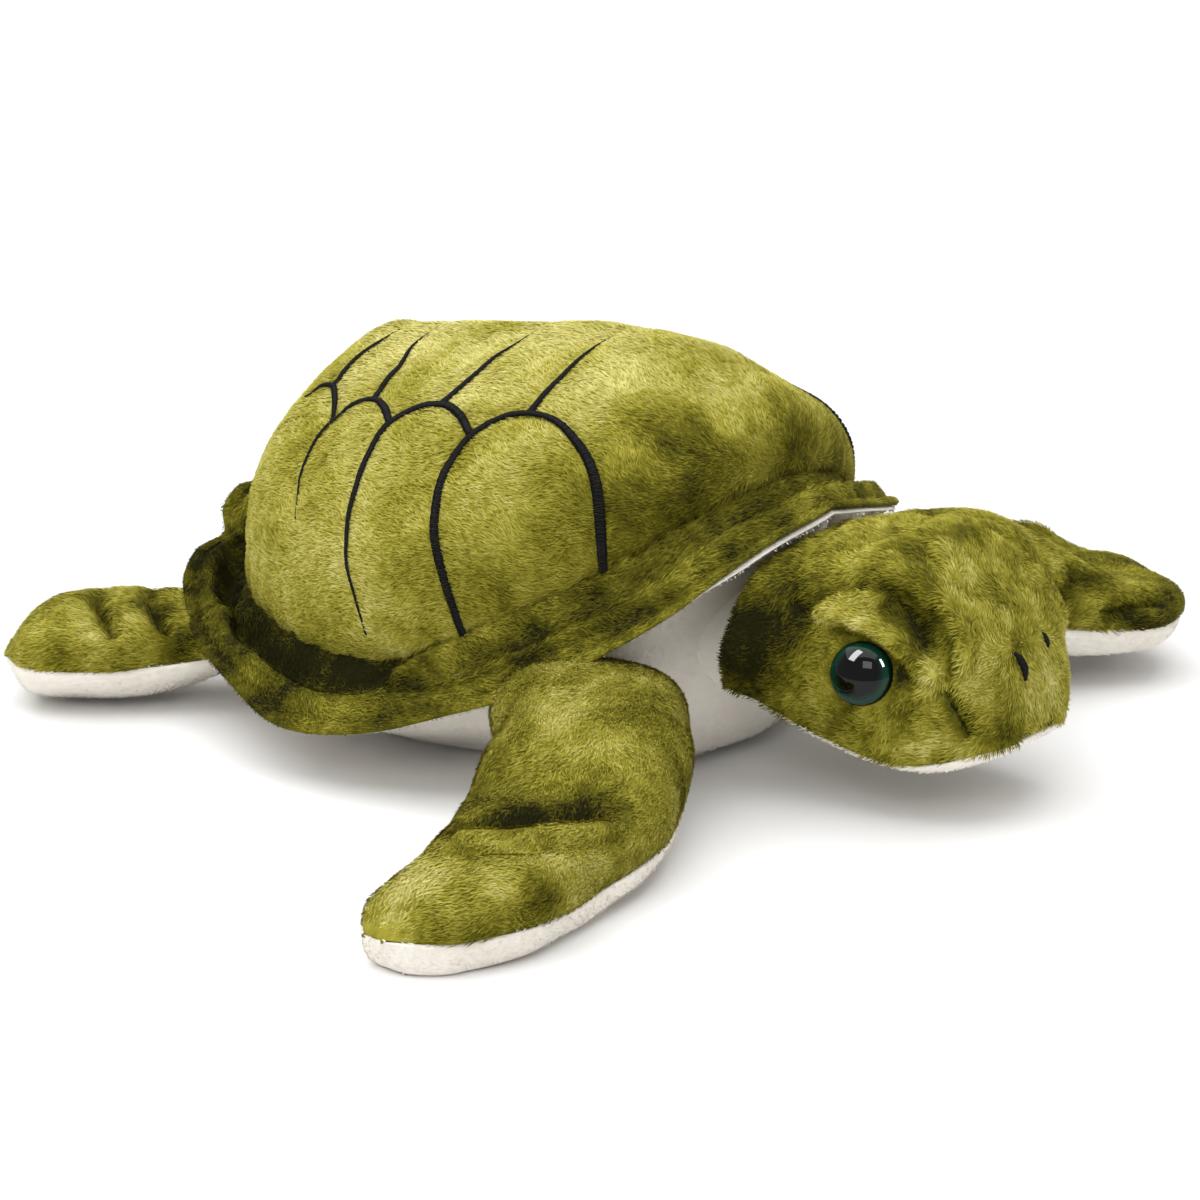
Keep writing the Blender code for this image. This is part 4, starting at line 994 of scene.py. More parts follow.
TAIL_STATIONS = (
    (-0.15, 0.24, 0.24, 0.00, 0.5, 0.5), (0.00, 0.28, 0.28, 0.00, 0.7, 0.7), (0.30, 0.33, 0.33, 0.25, 0.95, 0.95),
    (0.70, 0.20, 0.20, 0.70, 0.70, 0.70), (0.93, 0.09, 0.09, 0.97, 0.35, 0.35), (1.00, 0.02, 0.02, 1.00, 0.05, 0.05),
)
FRONT_LENGTH = 188 * MM
# Which way the middle line of a flipper points: (along, degrees back from its root's own way)
FRONT_TURNS = ((-0.2, -8.9), (0.0, 0.0), (0.5, 22.25), (1.0, 44.5))
LEFT_TURNS = ((-0.2, 1.0), (0.0, 1.5), (0.15, 2.6), (0.35, 12.2), (0.50, 35.0), (0.65, 82.5), (0.80, 97.5), (1.0, 88.0))
REAR_TURNS = ((-0.2, -0.8), (0.0, 0.0), (1.0, 4.0))
TAIL_TURNS = ((-0.2, 0.0), (0.0, 0.0), (1.0, 0.0))
LEFT_LIFT = 9.5 * MM          # the left flipper lies a little higher than the right one
REAR_LENGTH = 87 * MM

# Folds and patches on the flippers and the head, as pixels of the photograph. The folds carry painted shade
# in their grooves and painted light on their ridges; the patches are partly nap, partly painted shade and painted light
# (path, depth, width, how much of each end fades out, shade); a negative depth is a ridge
ELBOW_FOLDS = (
    (((438, 829), (456, 823), (500, 821), (560, 817), (606, 812)), 8.5, 5.5, 0.05, 0.34),
    (((445, 841), (480, 838), (530, 836), (580, 832), (620, 826)), -2.6, 3.6, 0.10, -0.14),
    (((438, 858), (470, 853), (530, 850), (590, 846), (640, 836)), 1.6, 2.6, 0.15, 0.14),
)
# on the left flipper the second line is a painted shadow where the head lies against the arm, in a shallow groove
FAR_FOLDS = (
    (((1084, 548), (1081, 566), (1077, 580), (1070, 593), (1062, 606)), 8.0, 4.5, 0.02, 0.36),
    (((978, 512), (1003, 534), (1022, 556), (1040, 583), (1056, 608)), 3.0, 3.0, 0.02, 0.50),
    (((1172, 603), (1163, 602), (1150, 600), (1136, 605), (1120, 611), (1100, 614)), 6.0, 4.0, 0.02, 0.20),
    (((1072, 606), (1090, 600), (1110, 598), (1128, 602)), -1.6, 3.0, 0.20, -0.16),
)
# painted shade above the elbow fold, painted light on the arm's top and on the blade, and patches of nap: (pixel
# across, pixel down, radius in mm, shade)
FLIPPER_PATCHES = (
    (460, 822, 6, 0.24), (490, 818, 8, 0.26), (525, 812, 9, 0.28), (560, 808, 9, 0.28), (592, 804, 8, 0.18),
    (475, 800, 9, 0.14), (515, 790, 10, 0.18), (560, 788, 10, 0.14), (640, 800, 8, 0.06), (655, 770, 9, 0.10),
    (575, 715, 16, -0.10), (520, 730, 11, -0.06), (600, 760, 10, -0.06), (420, 890, 13, -0.22), (480, 880, 11, -0.20), (400, 920, 8, -0.12),
    (550, 898, 7, 0.26), (520, 915, 6, 0.16), (600, 880, 9, -0.12), (540, 852, 7, -0.14), (600, 850, 7, -0.14),
)


def make_front_flipper(side, word):
    turns, stations = (FRONT_TURNS, FRONT_STATIONS) if side == RIGHT else (LEFT_TURNS, LEFT_STATIONS)
    limb = Limb("front_flipper_%s_lift" % word, FRONT_LENGTH, 16 * MM, turns, side)
    top = limb.skin(stations, ROUND_TOP, True, 16 * MM, 30 * MM, 12.5 * MM, 120, 56)
    under = limb.skin(stations, FULL_UNDER, False, 16 * MM, 30 * MM, 12.5 * MM, 110, 48)
    top.ruffle(0.7 * MM, 30 * MM, 31)
    under.ruffle(0.5 * MM, 26 * MM, 33)
    if side == RIGHT:
        folds = ELBOW_FOLDS
        top.stroke(FLIPPER_PATCHES)
    else:
        folds = FAR_FOLDS
        for skin in (top, under):
            away = (skin.points - limb.pivot) @ limb.out
            skin.points[..., 2] += LEFT_LIFT * smoothstep(5 * MM, 60 * MM, away)
        top.shade += 0.20 * smoothstep(72 * MM, 92 * MM, (top.points - limb.pivot) @ limb.out)
    surface = top.surface()
    for path, depth, width, fade, shade in folds:
        top.press(seen(surface, path), depth * MM, width * MM, fade, shade)
    end = np.linspace(0, 1, len(top.points))[:, None]
    top.pile *= 0.35 + 0.65 * smoothstep(1.0, 0.90, end)
    top.cover *= smoothstep(0.985, 0.955, end)
    top.mottle(0.16, 24 * MM, 35)
    top.stand_on_floor(1.5 * MM)
    under.stand_on_floor()
    moving = limb.bending()
    nodes = ["front_flipper_%s_upper" % word, "front_flipper_%s_stuffing" % word]
    green_cloth(top, "front_flipper_%s_top" % word, top.ways()[0], moving, 32, nodes)
    under.cover = smoothstep(1.2 * MM, 2.6 * MM, under.points[..., 2])
    white_cloth(under, "front_flipper_%s_sole" % word, under.ways()[0], moving, 34, ["front_flipper_%s_underside" % word])


# The two folds that cross the rear flipper, as pixels of the photograph; they are pressed with painted shade in them
REAR_FOLDS = (
    ((99, 598), (103, 607), (108, 619), (114, 630), (121, 638)),
    ((151, 597), (155, 607), (160, 617), (166, 626), (177, 629)),
)
# Patches on the rear flipper: painted light on the ridges beside the folds, and painted shade: (pixel across, pixel
# down, radius in mm, shade)
REAR_PATCHES = (
    (60, 620, 5, 0.16), (88, 612, 5, -0.16), (103, 635, 5, -0.16), (128, 610, 5, -0.05), (140, 618, 4, -0.12),
    (150, 632, 5, -0.10), (165, 605, 6, 0.16), (35, 650, 6, 0.14), (60, 655, 6, 0.12), (120, 655, 6, 0.10),
    (178, 655, 7, 0.34), (186, 640, 6, 0.26), (60, 600, 5, 0.08),
)


REAR_PATHS = []


def make_rear_flipper(side, word):
    limb = Limb("rear_flipper_%s_lift" % word, REAR_LENGTH, 19.5 * MM, REAR_TURNS, side)
    top = limb.skin(REAR_STATIONS, ROUND_TOP, True, 3.5 * MM, 20.5 * MM, 16 * MM, 90, 70)
    top.ruffle(0.5 * MM, 24 * MM, 41)
    under = limb.skin(REAR_STATIONS, ROUND_UNDER, False, 3.5 * MM, 20.5 * MM, 16 * MM, 70, 50)
    if side == RIGHT:
        surface = top.surface()
        # each fold also runs on over the top, away from the camera
        REAR_PATHS.extend([path[0] - BACK * 0.02] + path for path in (seen(surface, fold) for fold in REAR_FOLDS))
        top.stroke(REAR_PATCHES)
    for path in REAR_PATHS:
        top.press(path if side == RIGHT else mirrored(path), 5.6 * MM, 2.8 * MM, 0.02, 0.32)
    top.mottle(0.15, 20 * MM, 47)
    top.stand_on_floor(1.5 * MM)
    moving = limb.bending()
    nodes = ["rear_flipper_%s_upper" % word, "rear_flipper_%s_stuffing" % word]
    green_cloth(top, "rear_flipper_%s_top" % word, top.ways()[0], moving, 42, nodes)
    under.ruffle(0.5 * MM, 22 * MM, 43)
    under.stand_on_floor()
    under.cover = smoothstep(1.2 * MM, 2.6 * MM, under.points[..., 2])
    white_cloth(under, "rear_flipper_%s_sole" % word, under.ways()[0], moving, 44, ["rear_flipper_%s_underside" % word])


def make_tail():
    limb = Limb("tail_lift", 34 * MM, 6 * MM, TAIL_TURNS, RIGHT)
    top = limb.skin(TAIL_STATIONS, ROUND_TOP, True, 6 * MM, 9 * MM, 7 * MM, 44, 34)
    under = limb.skin(TAIL_STATIONS, ROUND_TOP, False, 6 * MM, 9 * MM, 7 * MM, 40, 30)
    moving = limb.bending()
    green_cloth(top, "tail_top", top.ways()[0], moving, 45, ["tail_upper"])
    white_cloth(under, "tail_sole", under.ways()[0], moving, 46, ["tail_underside"])


# Head

head_low, head_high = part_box("crown_panel")
NECK_PIVOT = Vector([j for j in frame["joints"] if j["name"] == "head_nod"][0]["pos_m"])
NAPE = head_high.y
HEAD_LENGTH = head_high.y - head_low.y
HEAD_HALF = 44 * MM
JAW_HEIGHT = 40 * MM
JAW_DROP = 18 * MM
CROWN_RISE = 70 * MM
CHIN_DEPTH = 5.5 * MM
# (along; half width; shares of the seam's drop, the crown's rise and the chin's depth)
HEAD_STATIONS = (
    (0.00, 1.04, 1.04, 0.00, 0.05, 0.10), (0.02, 1.11, 1.11, 0.03, 0.37, 0.30), (0.06, 1.13, 1.13, 0.10, 0.57, 0.55),
    (0.12, 1.08, 1.08, 0.22, 0.695, 0.70), (0.20, 1.05, 1.05, 0.40, 0.785, 0.85), (0.30, 1.02, 1.02, 0.60, 0.855, 0.95),
    (0.42, 0.99, 0.99, 0.76, 0.895, 1.00), (0.54, 0.985, 0.985, 0.88, 0.97, 1.00), (0.68, 0.925, 0.925, 1.00, 0.943, 0.95),
    (0.80, 0.84, 0.84, 0.97, 0.772, 0.80), (0.90, 0.68, 0.68, 0.84, 0.585, 0.65), (0.965, 0.50, 0.50, 0.74, 0.360, 0.45),
    (0.99, 0.40, 0.40, 0.70, 0.165, 0.25), (1.00, 0.30, 0.30, 0.68, 0.04, 0.06),
)
HEAD_PROFILE = (
    (0.00, 1.00, 0.00, 0.00), (0.10, 1.00, 0.18, 0.05), (0.22, 0.98, 0.40, 0.08), (0.34, 0.91, 0.62, 0.06),
    (0.46, 0.82, 0.80, 0.06), (0.60, 0.66, 0.94, 0.03), (0.78, 0.37, 0.985, 0.0), (1.00, 0.00, 1.00, 0.0),
)
CHIN_PROFILE = (
    (0.00, 1.00, 0.00, 0.00), (0.12, 0.96, 0.30, 0.0), (0.28, 0.84, 0.66, 0.0), (0.50, 0.58, 0.92, 0.0),
    (0.75, 0.28, 1.00, 0.0), (1.00, 0.00, 1.00, 0.0),
)
HEAD_FOLDS = (
    (((872, 590), (900, 600), (920, 620), (934, 645), (940, 672)), 6.5, 6.0, 0.25, 0.36),
    (((800, 600), (803, 612), (812, 606), (835, 590), (868, 580), (900, 584), (925, 600)), 1.6, 2.4, 0.12, 0.16),
    (((868, 572), (905, 578), (935, 596), (955, 622), (962, 655), (958, 684)), -3.4, 4.5, 0.20, -0.14),
    (((930, 603), (945, 620), (953, 645), (954, 668), (950, 686)), 2.0, 1.8, 0.15, 0.28, 0.5),
    (((812, 604), (832, 592), (862, 586), (892, 590), (918, 604), (937, 622), (948, 645), (952, 668), (949, 688)), 1.2, 1.1, 0.06, 0.34, 0.8),
    (((812, 618), (830, 614), (850, 619), (875, 630), (900, 648), (922, 668), (942, 686)), -4.6, 2.8, 0.10, -0.22),
    (((820, 630), (840, 630), (862, 638), (884, 652), (903, 670), (916, 686)), 2.0, 2.0, 0.15, 0.26, 0.4),
    (((944, 686), (952, 697), (960, 710), (967, 724), (973, 738)), 2.8, 1.7, 0.03, 0.50, 0.9),
    (((886, 708), (905, 699), (925, 692), (942, 688)), -1.6, 2.2, 0.20, -0.14),
    (((892, 716), (912, 708), (932, 702), (948, 702)), 1.4, 3.0, 0.25, 0.14),
    (((924, 534), (930, 550), (935, 568), (940, 586)), 2.0, 3.0, 0.25, 0.18),
    (((902, 540), (908, 555), (918, 572)), 1.6, 3.0, 0.25, 0.12),
    (((942, 536), (946, 555), (952, 575), (960, 592)), -1.8, 4.0, 0.25, -0.10),
    (((792, 596), (800, 606), (806, 616)), 2.0, 2.0, 0.20, 0.30),
)
HEAD_PATCHES = (
    (735, 640, 12, 0.24), (728, 668, 12, 0.22), (765, 600, 11, 0.22), (770, 640, 13, 0.24), (770, 690, 12, 0.20),
    (790, 575, 9, 0.22), (800, 650, 8, 0.16), (785, 560, 7, 0.10), (890, 612, 5, 0.16), (915, 640, 5, 0.14),
    (840, 560, 7, 0.10), (905, 720, 8, 0.10), (800, 715, 7, 0.10), (880, 545, 8, -0.08), (870, 610, 5, -0.10),
    (975, 595, 9, -0.12), (1000, 640, 9, -0.14), (1025, 700, 8, -0.12), (985, 690, 7, -0.14), (1040, 600, 7, 0.10),
    (840, 738, 7, -0.08), (1010, 720, 7, 0.12), (900, 680, 5, 0.10), (968, 535, 6, 0.12), (960, 575, 5, 0.10), (820, 520, 10, 0.08), (860, 500, 9, 0.08), (930, 520, 8, 0.06),
)


def head_skin(upper, rows, columns):
    steps = np.linspace(0, 1, rows)
    along = 0.45 * steps + 0.275 * (1 - np.cos(math.pi * steps))
    half, _, sink, up, down = curve(HEAD_STATIONS, along)
    across = np.linspace(-1, 1, columns)
    edge, height_share, swell = curve(HEAD_PROFILE if upper else CHIN_PROFILE, 1 - np.abs(across))
    height = (up * (CROWN_RISE - PILE_ROOM) if upper else down * CHIN_DEPTH)[:, None]
    x = np.sign(across) * ((half[:, None] * HEAD_HALF - PILE_ROOM) * edge + swell * height)
    y = np.broadcast_to((NAPE - PILE_ROOM - along * (HEAD_LENGTH - 2 * PILE_ROOM))[:, None], x.shape)
    z = JAW_HEIGHT - (sink * JAW_DROP)[:, None] + (1 if upper else -1) * height * height_share
    return Skin(np.stack([x, y, z], axis=-1), (0, 0, 1 if upper else -1))


HEAD_SWINGS = ((0, 6), (0, 3), (18, 6), (-18, 6), (18, 0), (-18, 0), (12, 6), (-12, 6), (6, 6), (-6, 6))
BRIM_ROOM = 1.6 * MM        # between the head's skin and the lining: their piles touch


def clear_of_brim(skin, brim):
    """Lowers the back of the crown, so that the head turns and nods (degrees) under the brim."""
    lower = np.zeros(skin.points.shape[:2])
    for turn, nod in HEAD_SWINGS:
        swing = Matrix.Rotation(math.radians(turn), 4, "Z") @ Matrix.Rotation(math.radians(-nod), 4, "X")
        for k, row in enumerate(skin.points[:60]):
            for m, place in enumerate(row):
                moved = NECK_PIVOT + swing @ (Vector(place) - NECK_PIVOT)
                over = brim.ray_cast(moved - Vector((0, 0, 30 * MM)), Vector((0, 0, 1)), 60 * MM)[0]
                if over:
                    lower[k, m] = max(lower[k, m], moved.z - over.z + BRIM_ROOM)
    spread = np.max([np.roll(np.roll(lower, a, 0), b, 1) for a in (-1, 0, 1) for b in (-1, 0, 1)], axis=0)
    soft = np.mean([np.roll(np.roll(spread, a, 0), b, 1) for a in range(-2, 3) for b in range(-2, 3)], axis=0)
    soft[60:] *= 0
    skin.points[..., 2] -= soft


def make_head(brim):
    top = head_skin(True, 130, 150)
    surface = top.surface()
    top.stroke(HEAD_PATCHES, (RIGHT, LEFT))
    top.ruffle(0.6 * MM, 34 * MM, 51)
    folds = [(seen(surface, path), rest) for path, *rest in HEAD_FOLDS]
    for line in (lambda path: path, mirrored):
        for path, (depth, width, fade, shade, *bare) in folds:
            top.press(line(path), depth * MM, width * MM, fade, shade, *bare)
    clear_of_brim(top, brim)
    eye_sockets(top)
    top.shade += 0.03 + 0.12 * smoothstep(-146 * MM, -122 * MM, top.points[..., 1])
    top.mottle(0.12, 16 * MM, 55)
    top.mottle(0.10, 8 * MM, 56)
    lie = np.broadcast_to((0.0, 1.0, 0.0), top.points.shape) + np.array((0, 0, -0.4))
    nodes = ["crown_panel", "cheek_panel_right", "cheek_panel_left", "head_stuffing"]
    green_cloth(top, "head_top", lie, "head", 52, nodes, wander=0.6)
    chin = head_skin(False, 80, 90)
    chin.ruffle(0.4 * MM, 26 * MM, 53)
    white_cloth(chin, "chin", (0, 1, 0), "head", 54, ["chin_panel"])
    return top.surface()


def eye_axis(word):
    """An eye's middle and the way that it looks, from its dome and its washer."""
    middles = []
    for node in ("eye_dome_", "eye_washer_"):
        mesh = frame["nodes"][node + word].data
        points = np.zeros(len(mesh.vertices) * 3)
        mesh.vertices.foreach_get("co", points)
        middles.append(points.reshape(-1, 3).mean(0))
    way = middles[0] - middles[1]
    return middles[0], way / np.linalg.norm(way)


EYE_RADIUS = 10.5 * MM


def eye_sockets(skin):
    for _, word in SIDES:
        middle, way = eye_axis(word)
        offset = skin.points - middle
        depth = offset @ way
        gap = np.linalg.norm(offset - depth[..., None] * way, axis=2)
        floor = -3.4 * MM
        inside = smoothstep(EYE_RADIUS * 1.30, EYE_RADIUS * 0.92, gap)
        move = np.where(np.abs(depth) < 16 * MM, (floor - depth) * inside, 0.0)
        skin.points += move[..., None] * way
        skin.cover *= smoothstep(EYE_RADIUS * 0.93, EYE_RADIUS * 1.05, np.where(np.abs(depth) < 16 * MM, gap, 1.0))
        skin.pile *= 0.45 + 0.55 * smoothstep(EYE_RADIUS * 1.0, EYE_RADIUS * 1.7, np.where(np.abs(depth) < 16 * MM, gap, 1.0))


def turned(name, profile, middle, way, finish, steps=72):
    """A turned piece from (radius, height) places, on an axis through a point."""
    way = Vector(way)
    side = way.orthogonal().normalized()
    other = way.cross(side)
    points, faces, reach = [], [], []
    wide = max(r for r, _ in profile)
    for r, h in profile:
        for k in range(steps):
            a = 2 * math.pi * k / steps
            points.append(Vector(middle) + way * h + side * (r * math.cos(a)) + other * (r * math.sin(a)))
            reach.append(r / wide)
    mesh = bpy.data.meshes.new(name)
    mesh.from_pydata(points, [], grid_faces(len(profile), steps, True))
    put(mesh, "reach", "FLOAT", reach)
    bm = bmesh.new()
    bm.from_mesh(mesh)
    bmesh.ops.remove_doubles(bm, verts=bm.verts, dist=1e-6)
    bmesh.ops.recalc_face_normals(bm, faces=bm.faces)
    bm.to_mesh(mesh)
    bm.free()
    mesh.shade_smooth()
    return add_object(name, mesh, finish)


def make_eyes():
    for _, word in SIDES:
        middle, way = eye_axis(word)
        dome = []
        for k in range(25):
            a = math.pi / 2 * k / 24
            dome.append((EYE_RADIUS * math.sin(a), (6.0 * math.cos(a) - 3.4) * MM))
        dome += [(EYE_RADIUS * 0.97, -3.9 * MM), (0.0, -3.9 * MM)]
        piece = turned("eye_%s" % word, dome, middle, way, eye_gloss)
        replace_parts(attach(piece, "head"), "eye_dome_" + word)
        back = [(0.0, -3.9 * MM), (EYE_RADIUS * 0.98, -3.9 * MM), (EYE_RADIUS * 1.0, -4.3 * MM),
                (EYE_RADIUS * 0.96, -5.2 * MM), (2.4 * MM, -5.4 * MM), (2.4 * MM, -15 * MM), (0.0, -15.4 * MM)]
        piece = turned("eye_shank_%s" % word, back, middle, way, eye_black)
        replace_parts(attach(piece, "head"), "eye_back_" + word)
        frame["nodes"]["eye_washer_" + word].data.materials.clear()
        frame["nodes"]["eye_washer_" + word].data.materials.append(nylon)


NECK_FLATNESS = 0.74


def make_neck():
    """The sewn neck in two sleeves that meet at its joint, so that each crosses one joint."""
    for name, radii, first, last, bodies in (
        ("neck_sleeve", (44, 30), 20, 0.0, ("root", "neck")), ("neck_collar", (31, 28), 0.0, -12, ("neck", "head")),
    ):
        profile = []
        for k in range(11):
            share = k / 10
            radius = radii[1] + (radii[0] - radii[1]) * (1 - share) ** 2
            profile.append((radius * MM, (first + (last - first) * share) * MM))
        profile = [(0.0, profile[0][1])] + profile + [(0.0, profile[-1][1])]
        piece = turned(name, profile, NECK_PIVOT, (0, 1, 0), white_plush)
        for vertex in piece.data.vertices:
            vertex.co.z = NECK_PIVOT.z + (vertex.co.z - NECK_PIVOT.z) * NECK_FLATNESS - 2 * MM
        for attribute_name, value in (("tip", 0.7), ("strand", 0.5), ("shade", 0.0)):
            put(piece.data, attribute_name, "FLOAT", np.full(len(piece.data.vertices), value))
        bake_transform(piece)
        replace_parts(piece, "neck_cover" if name == "neck_sleeve" else "neck_stuffing")


# Stitches

def wrap_object():
    """One wrap of satin stitch: a thread that arches over the line, from x = -0.5 to 0.5."""
    rings, sides = 6, 4
    points = []
    for k in range(rings):
        x = -0.5 + k / (rings - 1)
        high = math.sqrt(max(0.0, 1 - (2 * x) ** 2)) * 0.34
        for s in range(sides):
            a = 2 * math.pi * s / sides
            points.append((x, 0.5 * math.cos(a), high + 0.10 * math.sin(a)))
    mesh = bpy.data.meshes.new("wrap")
    mesh.from_pydata(points, [], grid_faces(rings, sides, True))
    bm = bmesh.new()
    bm.from_mesh(mesh)
    bmesh.ops.recalc_face_normals(bm, faces=bm.faces)
    bm.to_mesh(mesh)
    bm.free()
    mesh.shade_smooth()
    return bpy.data.objects.new("wrap", mesh)


def satin_tree(wrap):
    tree = bpy.data.node_groups.new("satin_stitch", "GeometryNodeTree")
    sockets(tree, "INPUT", [("Line", "Geometry", None), ("Thread", "Float", 0.0005), ("Finish", "Material", None)])
    sockets(tree, "OUTPUT", [("Stitch", "Geometry", None)])
    given = new_node(tree, "NodeGroupInput").outputs
    points = feed(tree, new_node(tree, "GeometryNodeMeshToPoints"), Mesh=given["Line"]).outputs[0]
    aim = new_node(tree, "FunctionNodeAxesToRotation", primary_axis="Z", secondary_axis="Y")
    feed(tree, aim, i0=read_attribute(tree, "up", "FLOAT_VECTOR"), i1=read_attribute(tree, "run", "FLOAT_VECTOR"))
    wide = math_node(tree, "MULTIPLY", read_attribute(tree, "wide", "FLOAT"), random_value(tree, 0.94, 1.06, 2))
    size = feed(tree, new_node(tree, "ShaderNodeCombineXYZ"), X=wide, Y=given["Thread"], Z=wide).outputs[0]
    source = new_node(tree, "GeometryNodeObjectInfo")
    source.inputs["Object"].default_value = wrap
    planted = new_node(tree, "GeometryNodeInstanceOnPoints")
    feed(tree, planted, Points=points, Instance=source.outputs["Geometry"], Rotation=aim.outputs[0], Scale=size)
    real = feed(tree, new_node(tree, "GeometryNodeRealizeInstances"), Geometry=planted.outputs[0]).outputs[0]
    done = feed(tree, new_node(tree, "GeometryNodeSetMaterial"), Geometry=real, Material=given["Finish"]).outputs[0]
    wire(tree, done, new_node(tree, "NodeGroupOutput").inputs[0])
    return tree


WRAP = wrap_object()
SATIN = satin_tree(WRAP)
THREAD = 0.55 * MM
WRAP_STEP = 0.36 * MM


def satin(name, path, surface, widths, lift, body, node):
    """A line of satin stitch on a surface. widths are (share of the line, width in mm)."""
    spots = smooth_knots(path, WRAP_STEP)
    wide = curve(widths, np.linspace(0, 1, len(spots)))[0] * MM
    ups = []
    for k, spot in enumerate(spots):
        place, normal, _, _ = surface.find_nearest(Vector(spot))
        normal = normal if normal.dot(Vector(spot) - (SHELL_MIDDLE if body == "root" else NECK_PIVOT)) > 0 else -normal
        spots[k] = place + normal * lift * min(1.0, wide[k] / SUNK_WIDTH)
        ups.append(normal)
    mesh = bpy.data.meshes.new(name)
    mesh.from_pydata(spots.tolist(), [], [])
    put(mesh, "up", "FLOAT_VECTOR", [tuple(u) for u in ups])
    run = np.gradient(spots, axis=0)
    put(mesh, "run", "FLOAT_VECTOR", run / np.linalg.norm(run, axis=1, keepdims=True))
    put(mesh, "wide", "FLOAT", wide)
    line = bpy.data.objects.new(name + "_line", mesh)
    bpy.context.scene.collection.objects.link(line)
    made = run_tree(SATIN, line, Thread=THREAD, Finish=thread)
    bpy.data.objects.remove(line)
    piece = add_object(name, made, thread)
    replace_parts(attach(piece, body), node)


SCUTE_WIDTHS = (
    ((0.0, 2.6), (0.15, 3.1), (0.35, 2.9), (0.50, 2.1), (0.62, 2.2), (0.75, 3.3), (0.9, 3.7), (1.0, 3.0)),
    ((0.0, 0.7), (0.20, 1.2), (0.40, 1.9), (0.60, 2.2), (0.75, 2.2), (0.90, 3.0), (1.0, 2.8)),
    ((0.0, 0.3), (0.25, 0.9), (0.50, 1.3), (0.75, 1.9), (0.90, 2.8), (1.0, 2.6)),
    ((0.0, 0.9), (0.35, 2.0), (0.60, 2.4), (1.0, 1.2)),
)
RIDGE_WIDTHS = ((0.0, 2.3), (0.12, 1.9), (0.3, 1.2), (0.42, 0.5), (0.5, 0.15), (0.58, 0.5), (0.7, 1.2), (0.88, 1.9), (1.0, 2.3))
NOSTRIL = ((1012, 653), (1018, 660), (1022, 669), (1023, 680))
FAR_NOSTRIL = ((1041, 633), (1043, 638), (1045, 643), (1046, 647))
NOSTRIL_WIDTHS = ((0.0, 1.0), (0.3, 2.6), (0.7, 2.8), (1.0, 1.2))
FAR_NOSTRIL_WIDTHS = ((0.0, 0.8), (0.3, 1.7), (0.7, 1.8), (1.0, 0.9))
SUNK_WIDTH = 1.3 * MM       # a line narrower than this lies deeper, down in the pile


def make_stitches(shell, lines, head):
    for key, path in lines.items():
        kind, rest = key.split("_", 1)
        widths = SCUTE_WIDTHS[int(key[-1]) - 1] if kind == "scute" else RIDGE_WIDTHS
        satin(key + "_satin", path, shell, widths, 1.1 * MM, "root", "%s_stitch_%s" % (kind, rest))
    for pixels, widths, (_, word) in zip((NOSTRIL, FAR_NOSTRIL), (NOSTRIL_WIDTHS, FAR_NOSTRIL_WIDTHS), SIDES):
        satin("nostril_%s" % word, seen(head, pixels), head, widths, 1.0 * MM, "head", "nostril_stitch_" + word)


def make_pellet_bag():
    low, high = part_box("pellet_bag")
    reach, angle = disc(40)
    fullness = np.sqrt(np.maximum(0, 1 - reach ** 4))
    middle = (low + high) / 2
    half = (high - low) / 2
    x = middle.x + half.x * reach * np.cos(angle)
    y = middle.y + half.y * reach * np.sin(angle)
    skin = Skin(np.stack([x, y, middle.z + half.z * fullness], axis=-1), (0, 0, 1))
    skin.ruffle(0.6 * MM, 9 * MM, 61)
    piece = sew(skin, "pellet_pouch", bag_cloth, (0, 1, 0), 0.3, 0.6 * MM)
    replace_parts(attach(piece, "root"), "pellet_bag")


# Floor and light

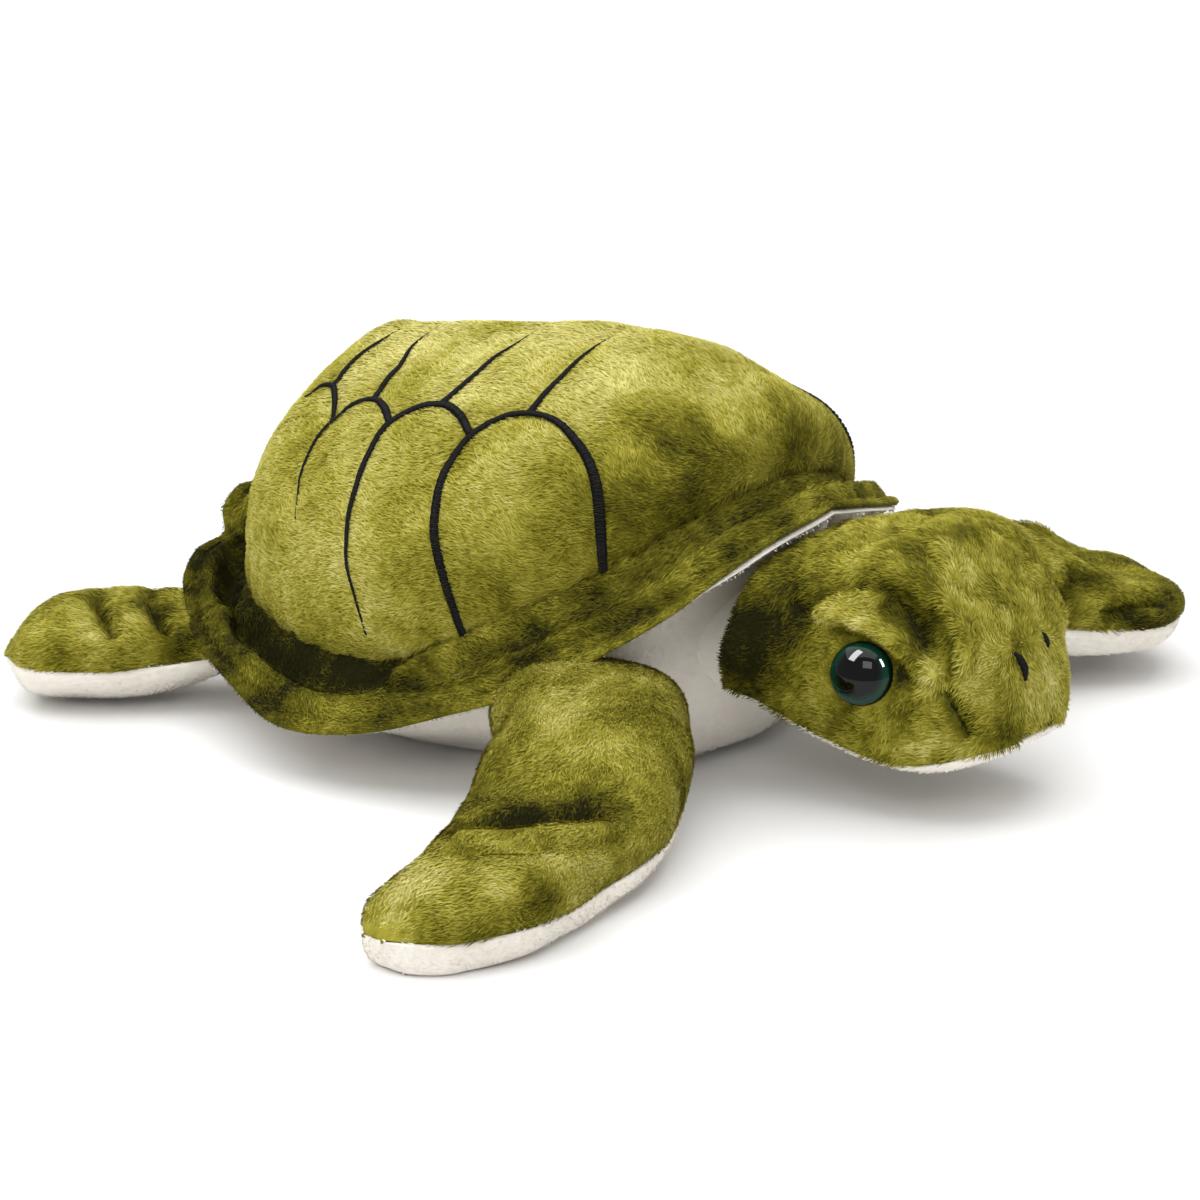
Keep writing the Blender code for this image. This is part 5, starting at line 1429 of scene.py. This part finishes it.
def make_floor():
    mesh = bpy.data.meshes.new("floor")
    mesh.from_pydata([(-6, -6, 0), (6, -6, 0), (6, 6, 0), (-6, 6, 0)], [], [(0, 1, 2, 3)])
    pale = coat("pale_floor", grain(3.0, 0.0, 0.0, 0.75, 0.85), Base_Color=(0.84, 0.84, 0.84, 1))
    add_object("floor", mesh, pale)


def soft_box(name, location, size, power, target=VIEW_TARGET):
    data = bpy.data.lights.new(name, "AREA")
    data.shape = "RECTANGLE"
    data.size = size[0]
    data.size_y = size[1]
    data.energy = power
    lamp = bpy.data.objects.new(name, data)
    bpy.context.scene.collection.objects.link(lamp)
    lamp.location = location
    lamp.rotation_euler = (Vector(location) - target).to_track_quat("Z", "Y").to_euler()
    return lamp


EYE_GLINTS = ((-0.541, 0.663, 0.514, 0.42, 0.85), (0.558, 0.453, 0.693, 0.30, 0.55))


def make_glints():
    """Two soft boxes that only glossy surfaces show, placed so that the near eye mirrors them."""
    middle, _ = eye_axis("right")
    for number, (across, up, back, width, height) in enumerate(EYE_GLINTS):
        way = RIGHTWARD * across + UPWARD * up + BACK * back
        lamp = soft_box("eye_glint_%d" % number, Vector(middle) + way * 1.5, (width, height), 34, Vector(middle))
        lamp.visible_diffuse = False


def make_light():
    world = bpy.data.worlds.new("studio")
    world.use_nodes = True
    world.node_tree.nodes["Background"].inputs["Color"].default_value = (1.0, 1.0, 1.0, 1.0)
    world.node_tree.nodes["Background"].inputs["Strength"].default_value = 0.5
    bpy.context.scene.world = world
    bpy.context.scene.view_settings.view_transform = "Standard"
    soft_box("top_light", (-0.3, 0.8, 5.0), (8.0, 8.0), 440)
    soft_box("side_light", (-1.7, -0.9, 1.3), (0.8, 0.6), 7)


make_camera()
make_floor()
make_light()
shell_surface, stitch_lines = make_shell()
make_belly()
brim_surface = make_brim()
for limb_side, limb_word in SIDES:
    make_front_flipper(limb_side, limb_word)
    make_rear_flipper(limb_side, limb_word)
make_tail()
head_surface = make_head(brim_surface)
make_eyes()
make_glints()
make_neck()
make_pellet_bag()
make_stitches(shell_surface, stitch_lines, head_surface)
for source in (STRAND, WRAP):
    bpy.data.objects.remove(source)
